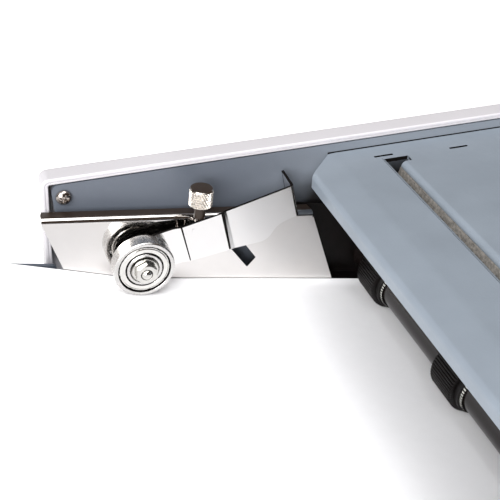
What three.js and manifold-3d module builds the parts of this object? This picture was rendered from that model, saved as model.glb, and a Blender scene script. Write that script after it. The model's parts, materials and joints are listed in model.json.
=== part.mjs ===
// Desktop sheet feeder: a sloping feed table with a polished side guide, a ball-bearing hold-down
// wheel on a bent spring-steel arm, and a hinged slotted cover over fluted feed rollers.
// Millimetres, +Z up. X is the feed direction, Y points from the operator to the far side.
// Everything is laid out from the centre of the hold-down wheel's front face (the datum).
import * as THREE from 'three';
import { mergeVertices } from 'three/addons/utils/BufferGeometryUtils.js';
import Module from 'manifold-3d';

const wasm = await Module();
wasm.setup();

// ---------------------------------------------------------------- driving dimensions
const DATUM = { x: -23.1, y: 118.5, z: 105 };   // wheel datum, seen from the middle of the footprint

const FIT = 0.3;                 // gap kept between pieces that touch
const SHEET_METAL = 1.5;         // painted steel panels, cover and table
const POLISHED = 1.2;            // polished stainless guide plate

const BED_PITCH = 12.5;          // degrees, feed table falls towards the rollers
const TAIL_PITCH = 20.6;         // degrees, the sheet's tail behind the wheel
const GUIDE_PITCH = 8.5;         // degrees, the far guide plate
const ARM_PITCH = -11.5;         // degrees, the arm rises away from the wheel
const SCREW_PITCH = 5;           // degrees, the thumb screw leans forward

const WHEEL = { outer: 11, bore: 5, width: 6, innerRing: 6.4, outerRing: 9.4, ballCircle: 7.9, ball: 1.3 };
const PAPER = { length: 297, width: 210, thickness: 0.3, far: 10, lead: 104, clear: 0.2 };
const INNER = { far: 18.5, near: -216 };          // faces of the two side panels
const TABLE_TOP = -(WHEEL.outer + PAPER.clear + PAPER.thickness + FIT);

const CASE = { top: 31, bottom: -97, wall: 2.3, radius: 3, farOuter: 27, nearOuter: -264,
  left: -30.2, leftFoot: -37, right: 224, rightFoot: 232 };
const BASE = { thickness: 1.7, foot: 6, footRadius: 9 };

const COVER = { top: 24.8, front: 65, back: 206, lip: 6.8, bend: 2.2, far: 18, near: -215.5, chamfer: 10.6,
  slotFrom: 95, slotTo: 99.6, slotFar: 8, slotNear: -205.5, flap: 12, hinge: { x: 200, z: 14 }, pin: 2.5 };

const ROLLER = { outer: 11, shaft: 7.8, journal: 4, width: 13.4, pitch: 60.2, first: -2.9, count: 4,
  flutes: 24 };
const NIP = { s: 98.4, n: 0.1 };                  // feed shaft axis along and above the bed
const LOWER_N = TABLE_TOP - ROLLER.outer;         // lower roller's crown is level with the table
const GEAR = { module: 22.9 / 16, width: 6, near: -230, main: 16, idler: 20, pinion: 10 };

const GUIDE = { face: 10.3, back: 15.6, top: 15.5, bend: 2 };
const ARM = { thickness: 1, front: 5, wheelEnd: 6.4, pivot: { u: 38, v: -3 } };
const KNOB = { radius: 4.3, height: 6.9, neck: 5, stud: 1.45, collar: 2.1, x: 21.2, y: 8.1, z: 19.8 };

// ---------------------------------------------------------------- colours and finishes
const finish = (color, roughness, metalness) =>
  new THREE.MeshStandardMaterial({ color, roughness, metalness });
const CASING = [0xeceae6, 0.45, 0];
const BLUE_GREY = [0x76828f, 0.5, 0.1];
const COVER_GREY = [0x96a3ad, 0.42, 0.1];
const MIRROR = [0xd6d1ca, 0.08, 1];
const STEEL = [0xb9b6b0, 0.25, 1];
const RUBBER = [0x141213, 0.8, 0];
const BLACK = [0x1c1c1e, 0.6, 0];
const NYLON = [0xd8d8d4, 0.55, 0];
const ZINC = [0xa7aaad, 0.4, 0.9];
const PAPER_WHITE = [0xf7f7f8, 0.9, 0];

// ---------------------------------------------------------------- geometry helpers
const rad = THREE.MathUtils.degToRad;
const { sin, cos, tan, PI } = Math;

function solid(geometry) {
  const plain = geometry.clone();
  plain.deleteAttribute('normal');
  plain.deleteAttribute('uv');
  const merged = mergeVertices(plain, 1e-4);
  return new wasm.Manifold(new wasm.Mesh({
    numProp: 3,
    vertProperties: new Float32Array(merged.attributes.position.array),
    triVerts: new Uint32Array(merged.index.array),
  }));
}

function surface(manifold) {
  const mesh = manifold.getMesh();
  const geometry = new THREE.BufferGeometry();
  geometry.setAttribute('position', new THREE.BufferAttribute(mesh.vertProperties, 3));
  geometry.setIndex(new THREE.BufferAttribute(mesh.triVerts, 1));
  return geometry;
}

const join = (first, ...rest) => surface(rest.reduce((all, part) => all.add(solid(part)), solid(first)));
const cut = (body, ...tools) =>
  surface(tools.reduce((left, tool) => left.subtract(solid(tool)), solid(body)));
const common = (a, b) => surface(solid(a).intersect(solid(b)));

/** Axis-aligned block from its low and high corners. */
function block(x0, x1, y0, y1, z0, z1) {
  const box = new THREE.BoxGeometry(x1 - x0, y1 - y0, z1 - z0);
  return box.translate((x0 + x1) / 2, (y0 + y1) / 2, (z0 + z1) / 2);
}

/** Closed outline with each [x, y, radius] corner rounded. */
function roundedShape(corners, steps = 5) {
  const points = [];
  corners.forEach(([x, y, radius = 0], i) => {
    const corner = new THREE.Vector2(x, y);
    const before = new THREE.Vector2(...corners.at(i - 1).slice(0, 2)).sub(corner).normalize();
    const after = new THREE.Vector2(...corners[(i + 1) % corners.length].slice(0, 2)).sub(corner).normalize();
    points.push(...roundCorner(corner, before, after, radius, steps));
  });
  return new THREE.Shape(points);
}

/** Points of a rounded corner between the directions to its two neighbours. */
function roundCorner(corner, before, after, radius, steps) {
  const half = Math.acos(THREE.MathUtils.clamp(before.dot(after), -1, 1)) / 2;
  if (radius === 0 || half > PI / 2 - 1e-3) return [corner];
  const reach = radius / tan(half);
  const start = corner.clone().addScaledVector(before, reach);
  const end = corner.clone().addScaledVector(after, reach);
  const centre = corner.clone().addScaledVector(before.clone().add(after).normalize(), radius / sin(half));
  const from = start.sub(centre).angle();
  const sweep = THREE.MathUtils.euclideanModulo(end.sub(centre).angle() - from + PI, 2 * PI) - PI;
  return Array.from({ length: steps + 1 }, (_, k) => new THREE.Vector2(
    centre.x + radius * cos(from + sweep * k / steps), centre.y + radius * sin(from + sweep * k / steps)));
}

/** Section of a bent sheet: a rounded centre path thickened to its left by t. */
function bentSheet(path, t, steps = 5) {
  const line = [];
  path.forEach(([x, y, radius = 0], i) => {
    const corner = new THREE.Vector2(x, y);
    if (i === 0 || i === path.length - 1) {
      line.push(corner);
      return;
    }
    const before = new THREE.Vector2(...path[i - 1].slice(0, 2)).sub(corner).normalize();
    const after = new THREE.Vector2(...path[i + 1].slice(0, 2)).sub(corner).normalize();
    line.push(...roundCorner(corner, before, after, radius, steps));
  });
  const offset = line.map((point, i) => {
    const a = line[Math.max(i - 1, 0)];
    const b = line[Math.min(i + 1, line.length - 1)];
    const along = b.clone().sub(a).normalize();
    return point.clone().add(new THREE.Vector2(-along.y, along.x).multiplyScalar(t));
  });
  return new THREE.Shape([...line, ...offset.reverse()]);
}

/** Outline in X and Z, extruded along Y. */
function slab(shape, y0, y1, curveSegments = 7) {
  const geometry = new THREE.ExtrudeGeometry(shape, { depth: y1 - y0, bevelEnabled: false, curveSegments });
  return geometry.rotateX(PI / 2).translate(0, y1, 0);
}

/** Outline in X and Y, extruded along Z. */
function plate(shape, z0, z1) {
  return new THREE.ExtrudeGeometry(shape, { depth: z1 - z0, bevelEnabled: false }).translate(0, 0, z0);
}

/** Round rod along Y, at x and z. */
function rod(radius, y0, y1, x = 0, z = 0, segments = 24) {
  return new THREE.CylinderGeometry(radius, radius, y1 - y0, segments).translate(x, (y0 + y1) / 2, z);
}

/** Round rod along Z, at x and y. */
function post(radius, z0, z1, x = 0, y = 0, segments = 24) {
  const geometry = new THREE.CylinderGeometry(radius, radius, z1 - z0, segments);
  return geometry.rotateX(PI / 2).translate(x, y, (z0 + z1) / 2);
}

/** Turned piece about Y from a closed list of [radius, y]. */
function turned(profile, segments) {
  const points = [...profile, profile[0]].map(([r, y]) => new THREE.Vector2(r, y));
  return new THREE.LatheGeometry(points, segments);
}

const holeAt = (x, y, r) => new THREE.Path().absarc(x, y, r, 0, 2 * PI, true);

// ---------------------------------------------------------------- the assembly's frames
const machine = new THREE.Group();
machine.position.set(DATUM.x, DATUM.y, DATUM.z);

/** A frame pitched about Y through the wheel centre: positive falls towards the rollers. */
function pitched(degrees) {
  const frame = new THREE.Group();
  frame.rotation.y = rad(degrees);
  machine.add(frame);
  return frame;
}

const bed = pitched(BED_PITCH);
const guide = pitched(GUIDE_PITCH);
const arm = pitched(ARM_PITCH);
const screw = pitched(SCREW_PITCH);

function add(parent, name, geometry, look) {
  const mesh = new THREE.Mesh(geometry, finish(...look));
  mesh.name = name;
  parent.add(mesh);
  return mesh;
}

/** A point of the bed frame, along s and up n, in the machine frame. */
const onBed = (s, n) => [s * cos(rad(BED_PITCH)) + n * sin(rad(BED_PITCH)),
  n * cos(rad(BED_PITCH)) - s * sin(rad(BED_PITCH))];

const FEED = onBed(NIP.s, NIP.n);
const PRESSURE = onBed(NIP.s, LOWER_N);
const CENTRES = GEAR.module * (GEAR.main + GEAR.idler) / 2;
const IDLER = onBed(NIP.s + CENTRES, NIP.n);
const TRANSPORT = onBed(NIP.s + 2 * CENTRES, NIP.n);
const TRANSPORT_LOWER = onBed(NIP.s + 2 * CENTRES, LOWER_N);
const SHAFTS = [FEED, PRESSURE, TRANSPORT, TRANSPORT_LOWER];
const PINION = [IDLER[0], IDLER[1] - GEAR.module * (GEAR.idler + GEAR.pinion) / 2];

// ---------------------------------------------------------------- base, feet and side panels
function base() {
  const z1 = CASE.bottom - FIT;
  const z0 = z1 - BASE.thickness;
  add(machine, 'base_plate', block(CASE.leftFoot + 1, CASE.rightFoot - 1, CASE.nearOuter + 2, CASE.farOuter - 2,
    z0, z1), ZINC);
  for (const [end, x] of [['front', CASE.leftFoot + 16], ['rear', CASE.rightFoot - 16]]) {
    for (const [side, y] of [['far', CASE.farOuter - 16], ['near', CASE.nearOuter + 16]]) {
      add(machine, `foot_${end}_${side}`, post(BASE.footRadius, z0 - BASE.foot, z0 - FIT, x, y), RUBBER);
    }
  }
}

const PANEL_SCREWS = [[-23.2, 23.4], [213, 22]];

function panelShape() {
  const sill = CASE.bottom + CASE.wall + FIT;
  const shape = roundedShape([[-27.2, 28.3, 3], [-21.8, sill], [216, sill], [221, 28.3, 3]]);
  for (const [x, z] of SHAFTS) shape.holes.push(holeAt(x, z, 6));
  for (const [x, z] of PANEL_SCREWS) shape.holes.push(holeAt(x, z, 1.8));
  shape.holes.push(holeAt(COVER.hinge.x, COVER.hinge.z, COVER.pin + FIT));
  return shape;
}

function sidePanels() {
  add(machine, 'side_panel_far', slab(panelShape(), INNER.far, INNER.far + SHEET_METAL), BLUE_GREY);
  add(machine, 'side_panel_near', slab(panelShape(), INNER.near - SHEET_METAL, INNER.near), BLUE_GREY);
  for (const [end, [x, z]] of [['front', PANEL_SCREWS[0]], ['rear', PANEL_SCREWS[1]]]) {
    add(machine, `panel_screw_${end}`, panelScrew(x, INNER.far, z), STEEL);
  }
}

/** Pan-head cross-recess screw whose head sits on the panel face at y, driven to the far side. */
function panelScrew(x, y, z) {
  const head = [[0, -2.1], [1.5, -1.9], [2.4, -1.3], [2.8, -0.6], [2.8, -0.2], [1.4, -0.2], [1.4, 5], [0, 5]];
  const body = new THREE.LatheGeometry(head.map(([r, h]) => new THREE.Vector2(r, h)), 20);
  const cross = [block(-1.6, 1.6, -3, -1.1, -0.3, 0.3), block(-0.3, 0.3, -3, -1.1, -1.6, 1.6)];
  return cut(body, ...cross).translate(x, y, z);
}

// ---------------------------------------------------------------- outer casings
function caseOutline(inset) {
  const { left, leftFoot, right, rightFoot, top, bottom, radius } = CASE;
  const r = Math.max(radius - inset, 0.8);
  return roundedShape([[left + inset, top - inset, r], [leftFoot + inset, bottom + inset],
    [rightFoot - inset, bottom + inset], [right - inset, top - inset, r]]);
}

function casings() {
  const { farOuter, nearOuter, wall } = CASE;
  const lipFar = INNER.far - 0.2;
  const lipNear = INNER.near + 0.2;
  const bosses = (y0, y1) => PANEL_SCREWS.map(([x, z]) => rod(3.6, y0, y1, x, z, 16));
  const pilots = (y0, y1) => PANEL_SCREWS.map(([x, z]) => rod(1.7, y0, y1, x, z, 12));
  const far = cut(slab(caseOutline(0), lipFar, farOuter), slab(caseOutline(wall), lipFar - 1, farOuter - wall));
  add(machine, 'side_casing_far', cut(join(far, ...bosses(INNER.far + SHEET_METAL + FIT, farOuter - 1)),
    ...pilots(INNER.far, INNER.far + 5.6)), CASING);

  const near = cut(slab(caseOutline(0), nearOuter, lipNear),
    slab(caseOutline(wall), nearOuter + wall, lipNear + 1));
  add(machine, 'side_casing_near', cut(join(near, ...bosses(nearOuter + 1, INNER.near - SHEET_METAL - FIT)),
    ...pilots(INNER.near - 5.6, INNER.near), switchHole(), buttonHole(), inletHole()), CASING);
}

// ---------------------------------------------------------------- controls and power inlet
const ROCKER = { x: 2, y: -240, length: 17, width: 11, z: 29.5 };
const BUTTON = { x: 26, y: -240, radius: 5 };
const INLET = { x0: 219, x1: 232.2, y0: -253.5, y1: -226.5, z0: -79.5, z1: -58.5 };

const switchHole = () => block(ROCKER.x - ROCKER.length / 2 - 0.5, ROCKER.x + ROCKER.length / 2 + 0.5,
  ROCKER.y - ROCKER.width / 2 - 0.5, ROCKER.y + ROCKER.width / 2 + 0.5, 26, 33);
const buttonHole = () => post(BUTTON.radius + 0.4, 26, 33, BUTTON.x, BUTTON.y);
const inletHole = () => block(INLET.x0, INLET.x1 + 9, INLET.y0 - FIT, INLET.y1 + FIT,
  INLET.z0 - FIT, INLET.z1 + FIT);

function controls() {
  const half = ROCKER.length / 2;
  const section = roundedShape([[-half, 2.6], [-half + 1, -5, 1], [half - 1, -5, 1], [half, 1.6],
    [0.8, 0.6, 2]]);
  add(machine, 'power_rocker', slab(section, ROCKER.y - ROCKER.width / 2, ROCKER.y + ROCKER.width / 2)
    .translate(ROCKER.x, 0, ROCKER.z), BLACK);
  const cap = [[0, 24], [6.4, 24], [6.4, 25.4], [5, 25.4], [5, 32.6], [4.2, 33.4], [0, 33.4]];
  const button = new THREE.LatheGeometry(cap.map(([r, h]) => new THREE.Vector2(r, h)), 24);
  add(machine, 'start_button', button.rotateX(PI / 2).translate(BUTTON.x, BUTTON.y, 0), BLACK);

  const { x0, x1, y0, y1, z0, z1 } = INLET;
  const well = block(x0 + 2, x1 + 1, y0 + 3, y1 - 3, z0 + 3, z1 - 3);
  const pins = [-6, 0, 6].map((y, i) => {
    const lift = i === 1 ? 3 : 0;
    return block(x0 + 1, x0 + 8, -240 + y - 0.8, -240 + y + 0.8, -71 + lift, -67 + lift);
  });
  add(machine, 'power_inlet', join(cut(block(x0, x1, y0, y1, z0, z1), well), ...pins), BLACK);
}

// ---------------------------------------------------------------- feed table and end panels
function rollerWindow(s) {
  return block(s - 8.5, s + 8.5, -207, 7, TABLE_TOP - 5, TABLE_TOP + 5);
}

function feedTable() {
  const t0 = TABLE_TOP - SHEET_METAL;
  const deck = block(-62, 203, INNER.near + 0.5, INNER.far - 0.4, t0, TABLE_TOP);
  const kerb = block(-62, -27, INNER.far - 0.4 - SHEET_METAL, INNER.far - 0.4, t0, TABLE_TOP + 2.3);
  const clampSlot = block(17.6, 22.4, -214, -150, t0 - 1, TABLE_TOP + 1);
  const windows = [NIP.s, NIP.s + 2 * CENTRES].map(rollerWindow);
  add(bed, 'feed_table', cut(join(deck, kerb), ...windows, clampSlot), BLUE_GREY);

  const tongue = t0 - FIT - SHEET_METAL;
  const far = onBed(-44, tongue);
  const fold = onBed(-66, tongue);
  const support = bentSheet([far, [...fold, 4], [-186, 55.6]], -SHEET_METAL);
  add(machine, 'paper_support', slab(support, -205, 15), BLUE_GREY);
}

function loadedSheet() {
  const inner = WHEEL.outer + PAPER.clear;
  const outer = inner + PAPER.thickness;
  const turn = rad(TAIL_PITCH - BED_PITCH);
  const tail = PAPER.length - PAPER.lead - (inner + outer) / 2 * turn;
  const steps = 4;
  const wrap = (radius) => Array.from({ length: steps + 1 }, (_, k) => {
    const angle = turn * k / steps;
    return new THREE.Vector2(-radius * sin(angle), -radius * cos(angle));
  });
  const away = new THREE.Vector2(-cos(turn), sin(turn));
  const endOf = (radius) =>
    new THREE.Vector2(-radius * sin(turn), -radius * cos(turn)).addScaledVector(away, tail);
  const outline = new THREE.Shape([new THREE.Vector2(PAPER.lead, -inner), ...wrap(inner), endOf(inner),
    endOf(outer), ...wrap(outer).reverse(), new THREE.Vector2(PAPER.lead, -outer)]);
  add(bed, 'loaded_sheet', slab(outline, PAPER.far - PAPER.width, PAPER.far), PAPER_WHITE);
}

function endPanels() {
  const y0 = INNER.near + 0.5;
  const y1 = INNER.far - 0.5;
  add(machine, 'front_apron', block(-19.5, -18, y0, y1, CASE.bottom + FIT, -11), BLUE_GREY);
  const rear = block(209, 210.5, y0, y1, CASE.bottom + FIT, 2.5);
  add(machine, 'rear_panel', cut(rear, block(205, 214, -206, 8, -66, -46)), BLUE_GREY);
}

// ---------------------------------------------------------------- far side guide
function guidePlate() {
  const { face, back, top, bend } = GUIDE;
  const section = bentSheet([[-face, -19], [-face, top, bend], [-back, top]], POLISHED);
  const angle = new THREE.ExtrudeGeometry(section, { depth: 120, bevelEnabled: false });
  angle.rotateX(PI / 2).rotateZ(-PI / 2).translate(84, 0, 0);
  const drop = rad(BED_PITCH - GUIDE_PITCH);
  const foot = (x) => -(-TABLE_TOP - FIT + x * sin(drop)) / cos(drop);
  const outline = roundedShape([[-35, top + 1], [-35, 13.8, 1], [-24.2, foot(-24.2)], [81.4, foot(81.4)],
    [66.4, 13.6, 1], [66.4, top + 1]], 3);
  const slot = roundedShape([[43.2, -8.2, 0.4], [46.1, -4, 0.4], [38.4, 4.9, 0.4], [33.9, 2.1, 0.4]], 2);
  const corners = roundedShape([[-35.4, 5], [66.8, 5], [66.2, 11], [65.2, 18], [-33.6, 18], [-35.2, 13.4]]);
  const shaped = common(common(angle, slab(outline, 0, 30)),
    join(plate(corners, -1, 30), block(-40, 90, 0, 12, -30, 13)));
  const ledge = block(17.5, 23.5, 6.9, face + 0.4, 2.4, 3.9);
  const pin = armFrameToGuide(ARM.pivot.u, ARM.pivot.v);
  const bore = rod(2, face - 1, face + 4, pin[0], pin[1]);
  add(guide, 'guide_plate', cut(join(shaped, ledge), slab(slot, 9, 13), bore), MIRROR);

  for (const [end, x] of [['front', -20], ['rear', 56]]) {
    const spacer = join(rod(3, face + POLISHED + FIT, INNER.far - FIT, x, -5, 20),
      rod(4.5, INNER.far - FIT - 1.5, INNER.far - FIT, x, -5, 20));
    add(guide, `guide_spacer_${end}`, spacer, ZINC);
  }
}

/** Arm coordinates (u along, v up) in the guide plate's frame. */
function armFrameToGuide(u, v) {
  const turn = rad(GUIDE_PITCH - ARM_PITCH);
  return [u * cos(turn) - v * sin(turn), u * sin(turn) + v * cos(turn)];
}

// ---------------------------------------------------------------- hold-down arm
function armStrip() {
  const { thickness: t, front, wheelEnd } = ARM;
  const plan = bentSheet([[-8.6, wheelEnd], [14, wheelEnd, 0.8], [17.4, front + 0.5, 0.8],
    [32.8, front - 0.5, 0.6], [60.2, front, 1.2], [60.6, 16.6]], t, 4);
  const prism = plate(plan, -14, 10);
  const side = new THREE.Shape();
  side.moveTo(17, 7.9);
  side.lineTo(61.8, 9.8);
  side.lineTo(61.8, -3.4);
  side.bezierCurveTo(54.5, -3.5, 51.6, -4, 49.3, -6.6);
  side.bezierCurveTo(47.6, -8.5, 46, -9.4, 43.5, -9.2);
  side.lineTo(31.9, -7.7);
  side.lineTo(17, -7.2);
  side.absarc(0, 0, 8.1, -1, PI / 2, true);
  const strip = common(prism, slab(side, 0, 20));
  return cut(strip, block(56, 66, front + 2.4, 20, -14, 0.8));
}

function armWithLug() {
  const lug = block(KNOB.x - 3.2, KNOB.x + 3.2, ARM.front + 0.4, 9.9, 10.2, 11.7);
  lug.rotateY(rad(SCREW_PITCH - ARM_PITCH));
  const thread = post(KNOB.stud + FIT, 5, 15, KNOB.x, KNOB.y, 16).rotateY(rad(SCREW_PITCH - ARM_PITCH));
  const pivot = rod(1.7, ARM.front + 0.2, 14.6, ARM.pivot.u, ARM.pivot.v, 20);
  return cut(join(armStrip(), lug, pivot), thread, rod(2.3, 4, 9, 0, 0, 20));
}

function holdDown() {
  add(arm, 'hold_down_arm', armWithLug(), MIRROR);
  const collar = turned([[2, 12.1], [3.4, 12.1], [3.4, 14], [2, 14]], 20);
  add(arm, 'pivot_collar', collar.translate(ARM.pivot.u, 0, ARM.pivot.v), STEEL);

  const axle = [[0, -4.3], [0.9, -4.1], [1.6, -3.6], [1.9, -3], [1.9, 0.2], [4.8, 0.2], [4.8, 6.1], [1.9, 6.1],
    [1.9, 8.6], [0, 8.6]];
  add(arm, 'wheel_axle', new THREE.LatheGeometry(axle.map(([r, y]) => new THREE.Vector2(r, y)), 20), STEEL);
  const washer = turned([[2.2, -0.7], [4.7, -0.7], [4.7, -0.1], [2.2, -0.1]], 24);
  add(arm, 'axle_washer', washer, STEEL);
  const nut = new THREE.CylinderGeometry(4.04, 4.04, 2.2, 6).translate(0, -2.1, 0);
  add(arm, 'axle_nut', cut(nut, rod(2.2, -5, 1, 0, 0, 20)), STEEL);
}

// ---------------------------------------------------------------- hold-down wheel (ball bearing)
function wheel() {
  const { outer, bore, width, innerRing, outerRing, ballCircle, ball } = WHEEL;
  const c = 0.35;
  add(arm, 'bearing_outer_ring', turned([[outerRing, 0.2], [outer - c, 0], [outer, c], [outer, width - c],
    [outer - c, width], [outerRing, width - 0.2]], 36), MIRROR);
  add(arm, 'bearing_inner_ring', turned([[bore, 0.3], [bore + 0.3, 0], [innerRing, 0], [innerRing, width],
    [bore + 0.3, width], [bore, width - 0.3]], 28), MIRROR);
  for (const [end, y] of [['front', 0.4], ['back', width - 0.8]]) {
    add(arm, `bearing_shield_${end}`, turned([[innerRing + 0.2, y], [outerRing - 0.3, y],
      [outerRing - 0.3, y + 0.4], [innerRing + 0.2, y + 0.4]], 28), STEEL);
  }
  const balls = Array.from({ length: 9 }, (_, k) => {
    const angle = 2 * PI * k / 9;
    return new THREE.SphereGeometry(ball, 7, 5)
      .translate(ballCircle * cos(angle), width / 2, ballCircle * sin(angle));
  });
  const cage = turned([[ballCircle - 0.5, 2.5], [ballCircle + 0.5, 2.5], [ballCircle + 0.5, 3.5],
    [ballCircle - 0.5, 3.5]], 27);
  add(arm, 'bearing_ball_cage', join(cage, ...balls), STEEL);
}

// ---------------------------------------------------------------- thumb screw
function thumbScrew() {
  const { radius, height, neck, stud, collar, x, y, z } = KNOB;
  add(screw, 'thumb_screw_stud', post(stud, 2.95, z + 5, x, y, 16), STEEL);
  const profile = [[stud + FIT, z - neck], [collar, z - neck], [collar, z],
    [radius - 0.6, z], [radius, z + 0.6],
    [radius, z + height - 0.5], [radius - 0.5, z + height], [0, z + height], [0, z + 5 + FIT],
    [stud + FIT, z + 5 + FIT]];
  const head = new THREE.LatheGeometry([...profile, profile[0]].map(([r, h]) => new THREE.Vector2(r, h)), 22);
  add(screw, 'thumb_screw_knob', head.rotateX(PI / 2).translate(x, y, 0), STEEL);
}

// ---------------------------------------------------------------- rollers, shafts and gears
function flutedSleeve() {
  const { outer, shaft, flutes, width } = ROLLER;
  const step = 2 * PI / flutes;
  const points = [];
  for (let k = 0; k < flutes; k += 1) {
    points.push([outer, (k - 0.22) * step], [outer, (k + 0.22) * step]);
    points.push([outer - 0.7, (k + 0.42) * step], [outer - 0.7, (k + 0.58) * step]);
  }
  const shape = new THREE.Shape(points.map(([r, a]) => new THREE.Vector2(r * cos(a), r * sin(a))));
  shape.holes.push(holeAt(0, 0, shaft + FIT));
  return slab(shape, -width / 2, width / 2, 10);
}

/** Stepped roller: a thick body between the panels and thinner journals through them. */
function steppedShaft(radius, bodyNear, bodyFar, near, far) {
  const { journal } = ROLLER;
  return new THREE.LatheGeometry([[0, near], [journal, near], [journal, bodyNear], [radius, bodyNear],
    [radius, bodyFar], [journal, bodyFar], [journal, far], [0, far]]
    .map(([r, y]) => new THREE.Vector2(r, y)), 24);
}

function rollers() {
  const { shaft, outer, width, pitch, first, count } = ROLLER;
  const [x, z] = FEED;
  const far = INNER.far + 4;
  add(machine, 'feed_shaft', steppedShaft(shaft, -212, 15, GEAR.near - 1, far).translate(x, 0, z), STEEL);
  for (let k = 0; k < count; k += 1) {
    const y = first - k * pitch;
    add(machine, `feed_roller_${k + 1}`, flutedSleeve().translate(x, y, z), RUBBER);
    const edge = y - width / 2 - FIT;
    const ring = turned([[shaft + FIT, edge - 3.4], [shaft + 1.5, edge - 3.4], [shaft + 1.5, edge],
      [shaft + FIT, edge]], 24);
    add(machine, `roller_collar_${k + 1}`, ring.translate(x, 0, z), NYLON);
  }
  const plain = (name, [px, pz], near) => add(machine, name,
    steppedShaft(outer, -204, 4, near, far).translate(px, 0, pz), RUBBER);
  plain('pressure_roller', PRESSURE, INNER.near - 5);
  plain('transport_roller', TRANSPORT, GEAR.near - 1);
  plain('transport_pressure_roller', TRANSPORT_LOWER, INNER.near - 5);
}

/** Spur gear in the X Z plane with a tooth centred at angle start. */
function spurGear(teeth, bore, start) {
  const pitchRadius = GEAR.module * teeth / 2;
  const step = 2 * PI / teeth;
  const tip = pitchRadius + 0.85 * GEAR.module;
  const root = pitchRadius - 1.2 * GEAR.module;
  const points = [];
  for (let k = 0; k < teeth; k += 1) {
    for (const [r, a] of [[root, -0.33], [tip, -0.12], [tip, 0.12], [root, 0.33]]) {
      const angle = start + (k + a) * step;
      points.push(new THREE.Vector2(r * cos(angle), r * sin(angle)));
    }
  }
  const shape = new THREE.Shape(points);
  shape.holes.push(holeAt(0, 0, bore));
  return slab(shape, GEAR.near, GEAR.near + GEAR.width, 8);
}

/** Angle of the driven gear's tooth so that it meshes with a driver whose tooth is at start. */
function meshedStart(driverTeeth, start, teeth, from, to) {
  const line = Math.atan2(to[1] - from[1], to[0] - from[0]);
  return line + PI + PI / teeth - (start - line) * driverTeeth / teeth;
}

function gears() {
  const { main, idler, pinion } = GEAR;
  const bore = ROLLER.journal + FIT;
  const place = (name, teeth, hole, start, [x, z], look) => add(machine, name,
    spurGear(teeth, hole, start).translate(x, 0, z), look);
  place('feed_gear', main, bore, 0, FEED, BLACK);
  const idlerStart = meshedStart(main, 0, idler, FEED, IDLER);
  place('idler_gear', idler, 3 + FIT, idlerStart, IDLER, NYLON);
  const transportStart = meshedStart(idler, idlerStart, main, IDLER, TRANSPORT);
  place('transport_gear', main, bore, transportStart, TRANSPORT, BLACK);
  const pinionStart = meshedStart(idler, idlerStart, pinion, IDLER, PINION);
  place('motor_pinion', pinion, 2 + FIT, pinionStart, PINION, STEEL);

  const [mx, mz] = PINION;
  const motor = join(rod(18, -257, -236, mx, mz, 32), rod(6, -237, -232.5, mx, mz),
    rod(2, -233, GEAR.near + 5.5, mx, mz));
  add(machine, 'gear_motor', motor, ZINC);
}

function bearingPlates() {
  const shape = roundedShape([[80, -8, 4], [78, -66, 4], [158, -66, 4], [158, -8, 4]]);
  for (const [x, z] of SHAFTS) shape.holes.push(holeAt(x, z, ROLLER.journal + 0.2));
  const far = INNER.far + SHEET_METAL + FIT;
  const near = INNER.near - SHEET_METAL - FIT;
  add(machine, 'bearing_plate_far', slab(shape, far, far + 3), NYLON);
  const stub = rod(3, GEAR.near - 1, near - 2, ...IDLER);
  add(machine, 'bearing_plate_near', join(slab(shape, near - 3, near), stub), NYLON);
}

function motorBracket() {
  const [x, z] = PINION;
  const face = block(x - 26, x + 26, -234.6, -232.9, z - 18, z + 8);
  const legs = [-26, 24.3].map((dx) => block(x + dx, x + dx + 1.7, -233, INNER.near - 5.1, z - 18, z - 4));
  add(machine, 'motor_bracket', cut(join(face, ...legs), rod(6 + FIT, -240, -230, x, z)), ZINC);
}

// ---------------------------------------------------------------- hinged cover
function coverSheet() {
  const { top, front, back, lip, bend, far, near } = COVER;
  const skin = bentSheet([[front, top - lip], [front, top - 1.5, bend], [front + 12.6, top, 24], [back, top, 3],
    [back, 6]], -SHEET_METAL, 6);
  return slab(skin, near, far);
}

function coverEdges() {
  const { top, slotFrom, slotTo, slotFar, slotNear, flap } = COVER;
  const hem = bentSheet([[slotFrom - 4, top], [slotFrom, top, 1.6], [slotFrom, top - 4]], -SHEET_METAL, 4);
  const flapShape = bentSheet([[slotTo + 1, top - flap], [slotTo, top, 3.2], [slotTo + 6, top]],
    -SHEET_METAL, 6);
  const inner = (far) => [slotNear + (slotFar - far), far];
  return [slab(hem, ...inner(slotFar)), slab(flapShape, ...inner(slotFar - 6))];
}

function cover() {
  const { top, front, slotFrom, slotTo, slotFar, slotNear, far, near, chamfer, hinge, pin } = COVER;
  const opening = block(slotFrom - 2, slotTo + 2, slotNear, slotFar, top - 6, top + 3);
  const middle = (far + near) / 2;
  const corner = (y, side) => plate(new THREE.Shape([[front - 2, y + side * 2], [front - 2, y - side * chamfer],
    [front, y - side * chamfer], [front + chamfer, y], [front + chamfer, y + side * 2]]
    .map(([a, b]) => new THREE.Vector2(a, b))), top - 12, top + 3);
  const slits = [];
  for (const [x, y] of [[91, 10.6], [121.4, 8.4]]) {
    for (const py of [y, 2 * middle - y]) slits.push(block(x, x + 7.8, py - 0.4, py + 0.4, top - 4, top + 3));
  }
  const ears = [[far - 4, far - 2.5], [near + 2.5, near + 4]].map(([y0, y1]) => cut(
    block(hinge.x - 5, hinge.x + 5, y0, y1, hinge.z - 5, top - 1),
    rod(pin + FIT, y0 - 1, y1 + 1, hinge.x, hinge.z)));
  const skin = cut(coverSheet(), opening, ...slits, corner(far, 1), corner(near, -1));
  add(machine, 'top_cover', join(skin, ...coverEdges(), ...ears), COVER_GREY);
  add(machine, 'hinge_pin_far', rod(pin, far - 5, INNER.far + 3, hinge.x, hinge.z), STEEL);
  add(machine, 'hinge_pin_near', rod(pin, INNER.near - 3, near + 5, hinge.x, hinge.z), STEEL);
}

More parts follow.
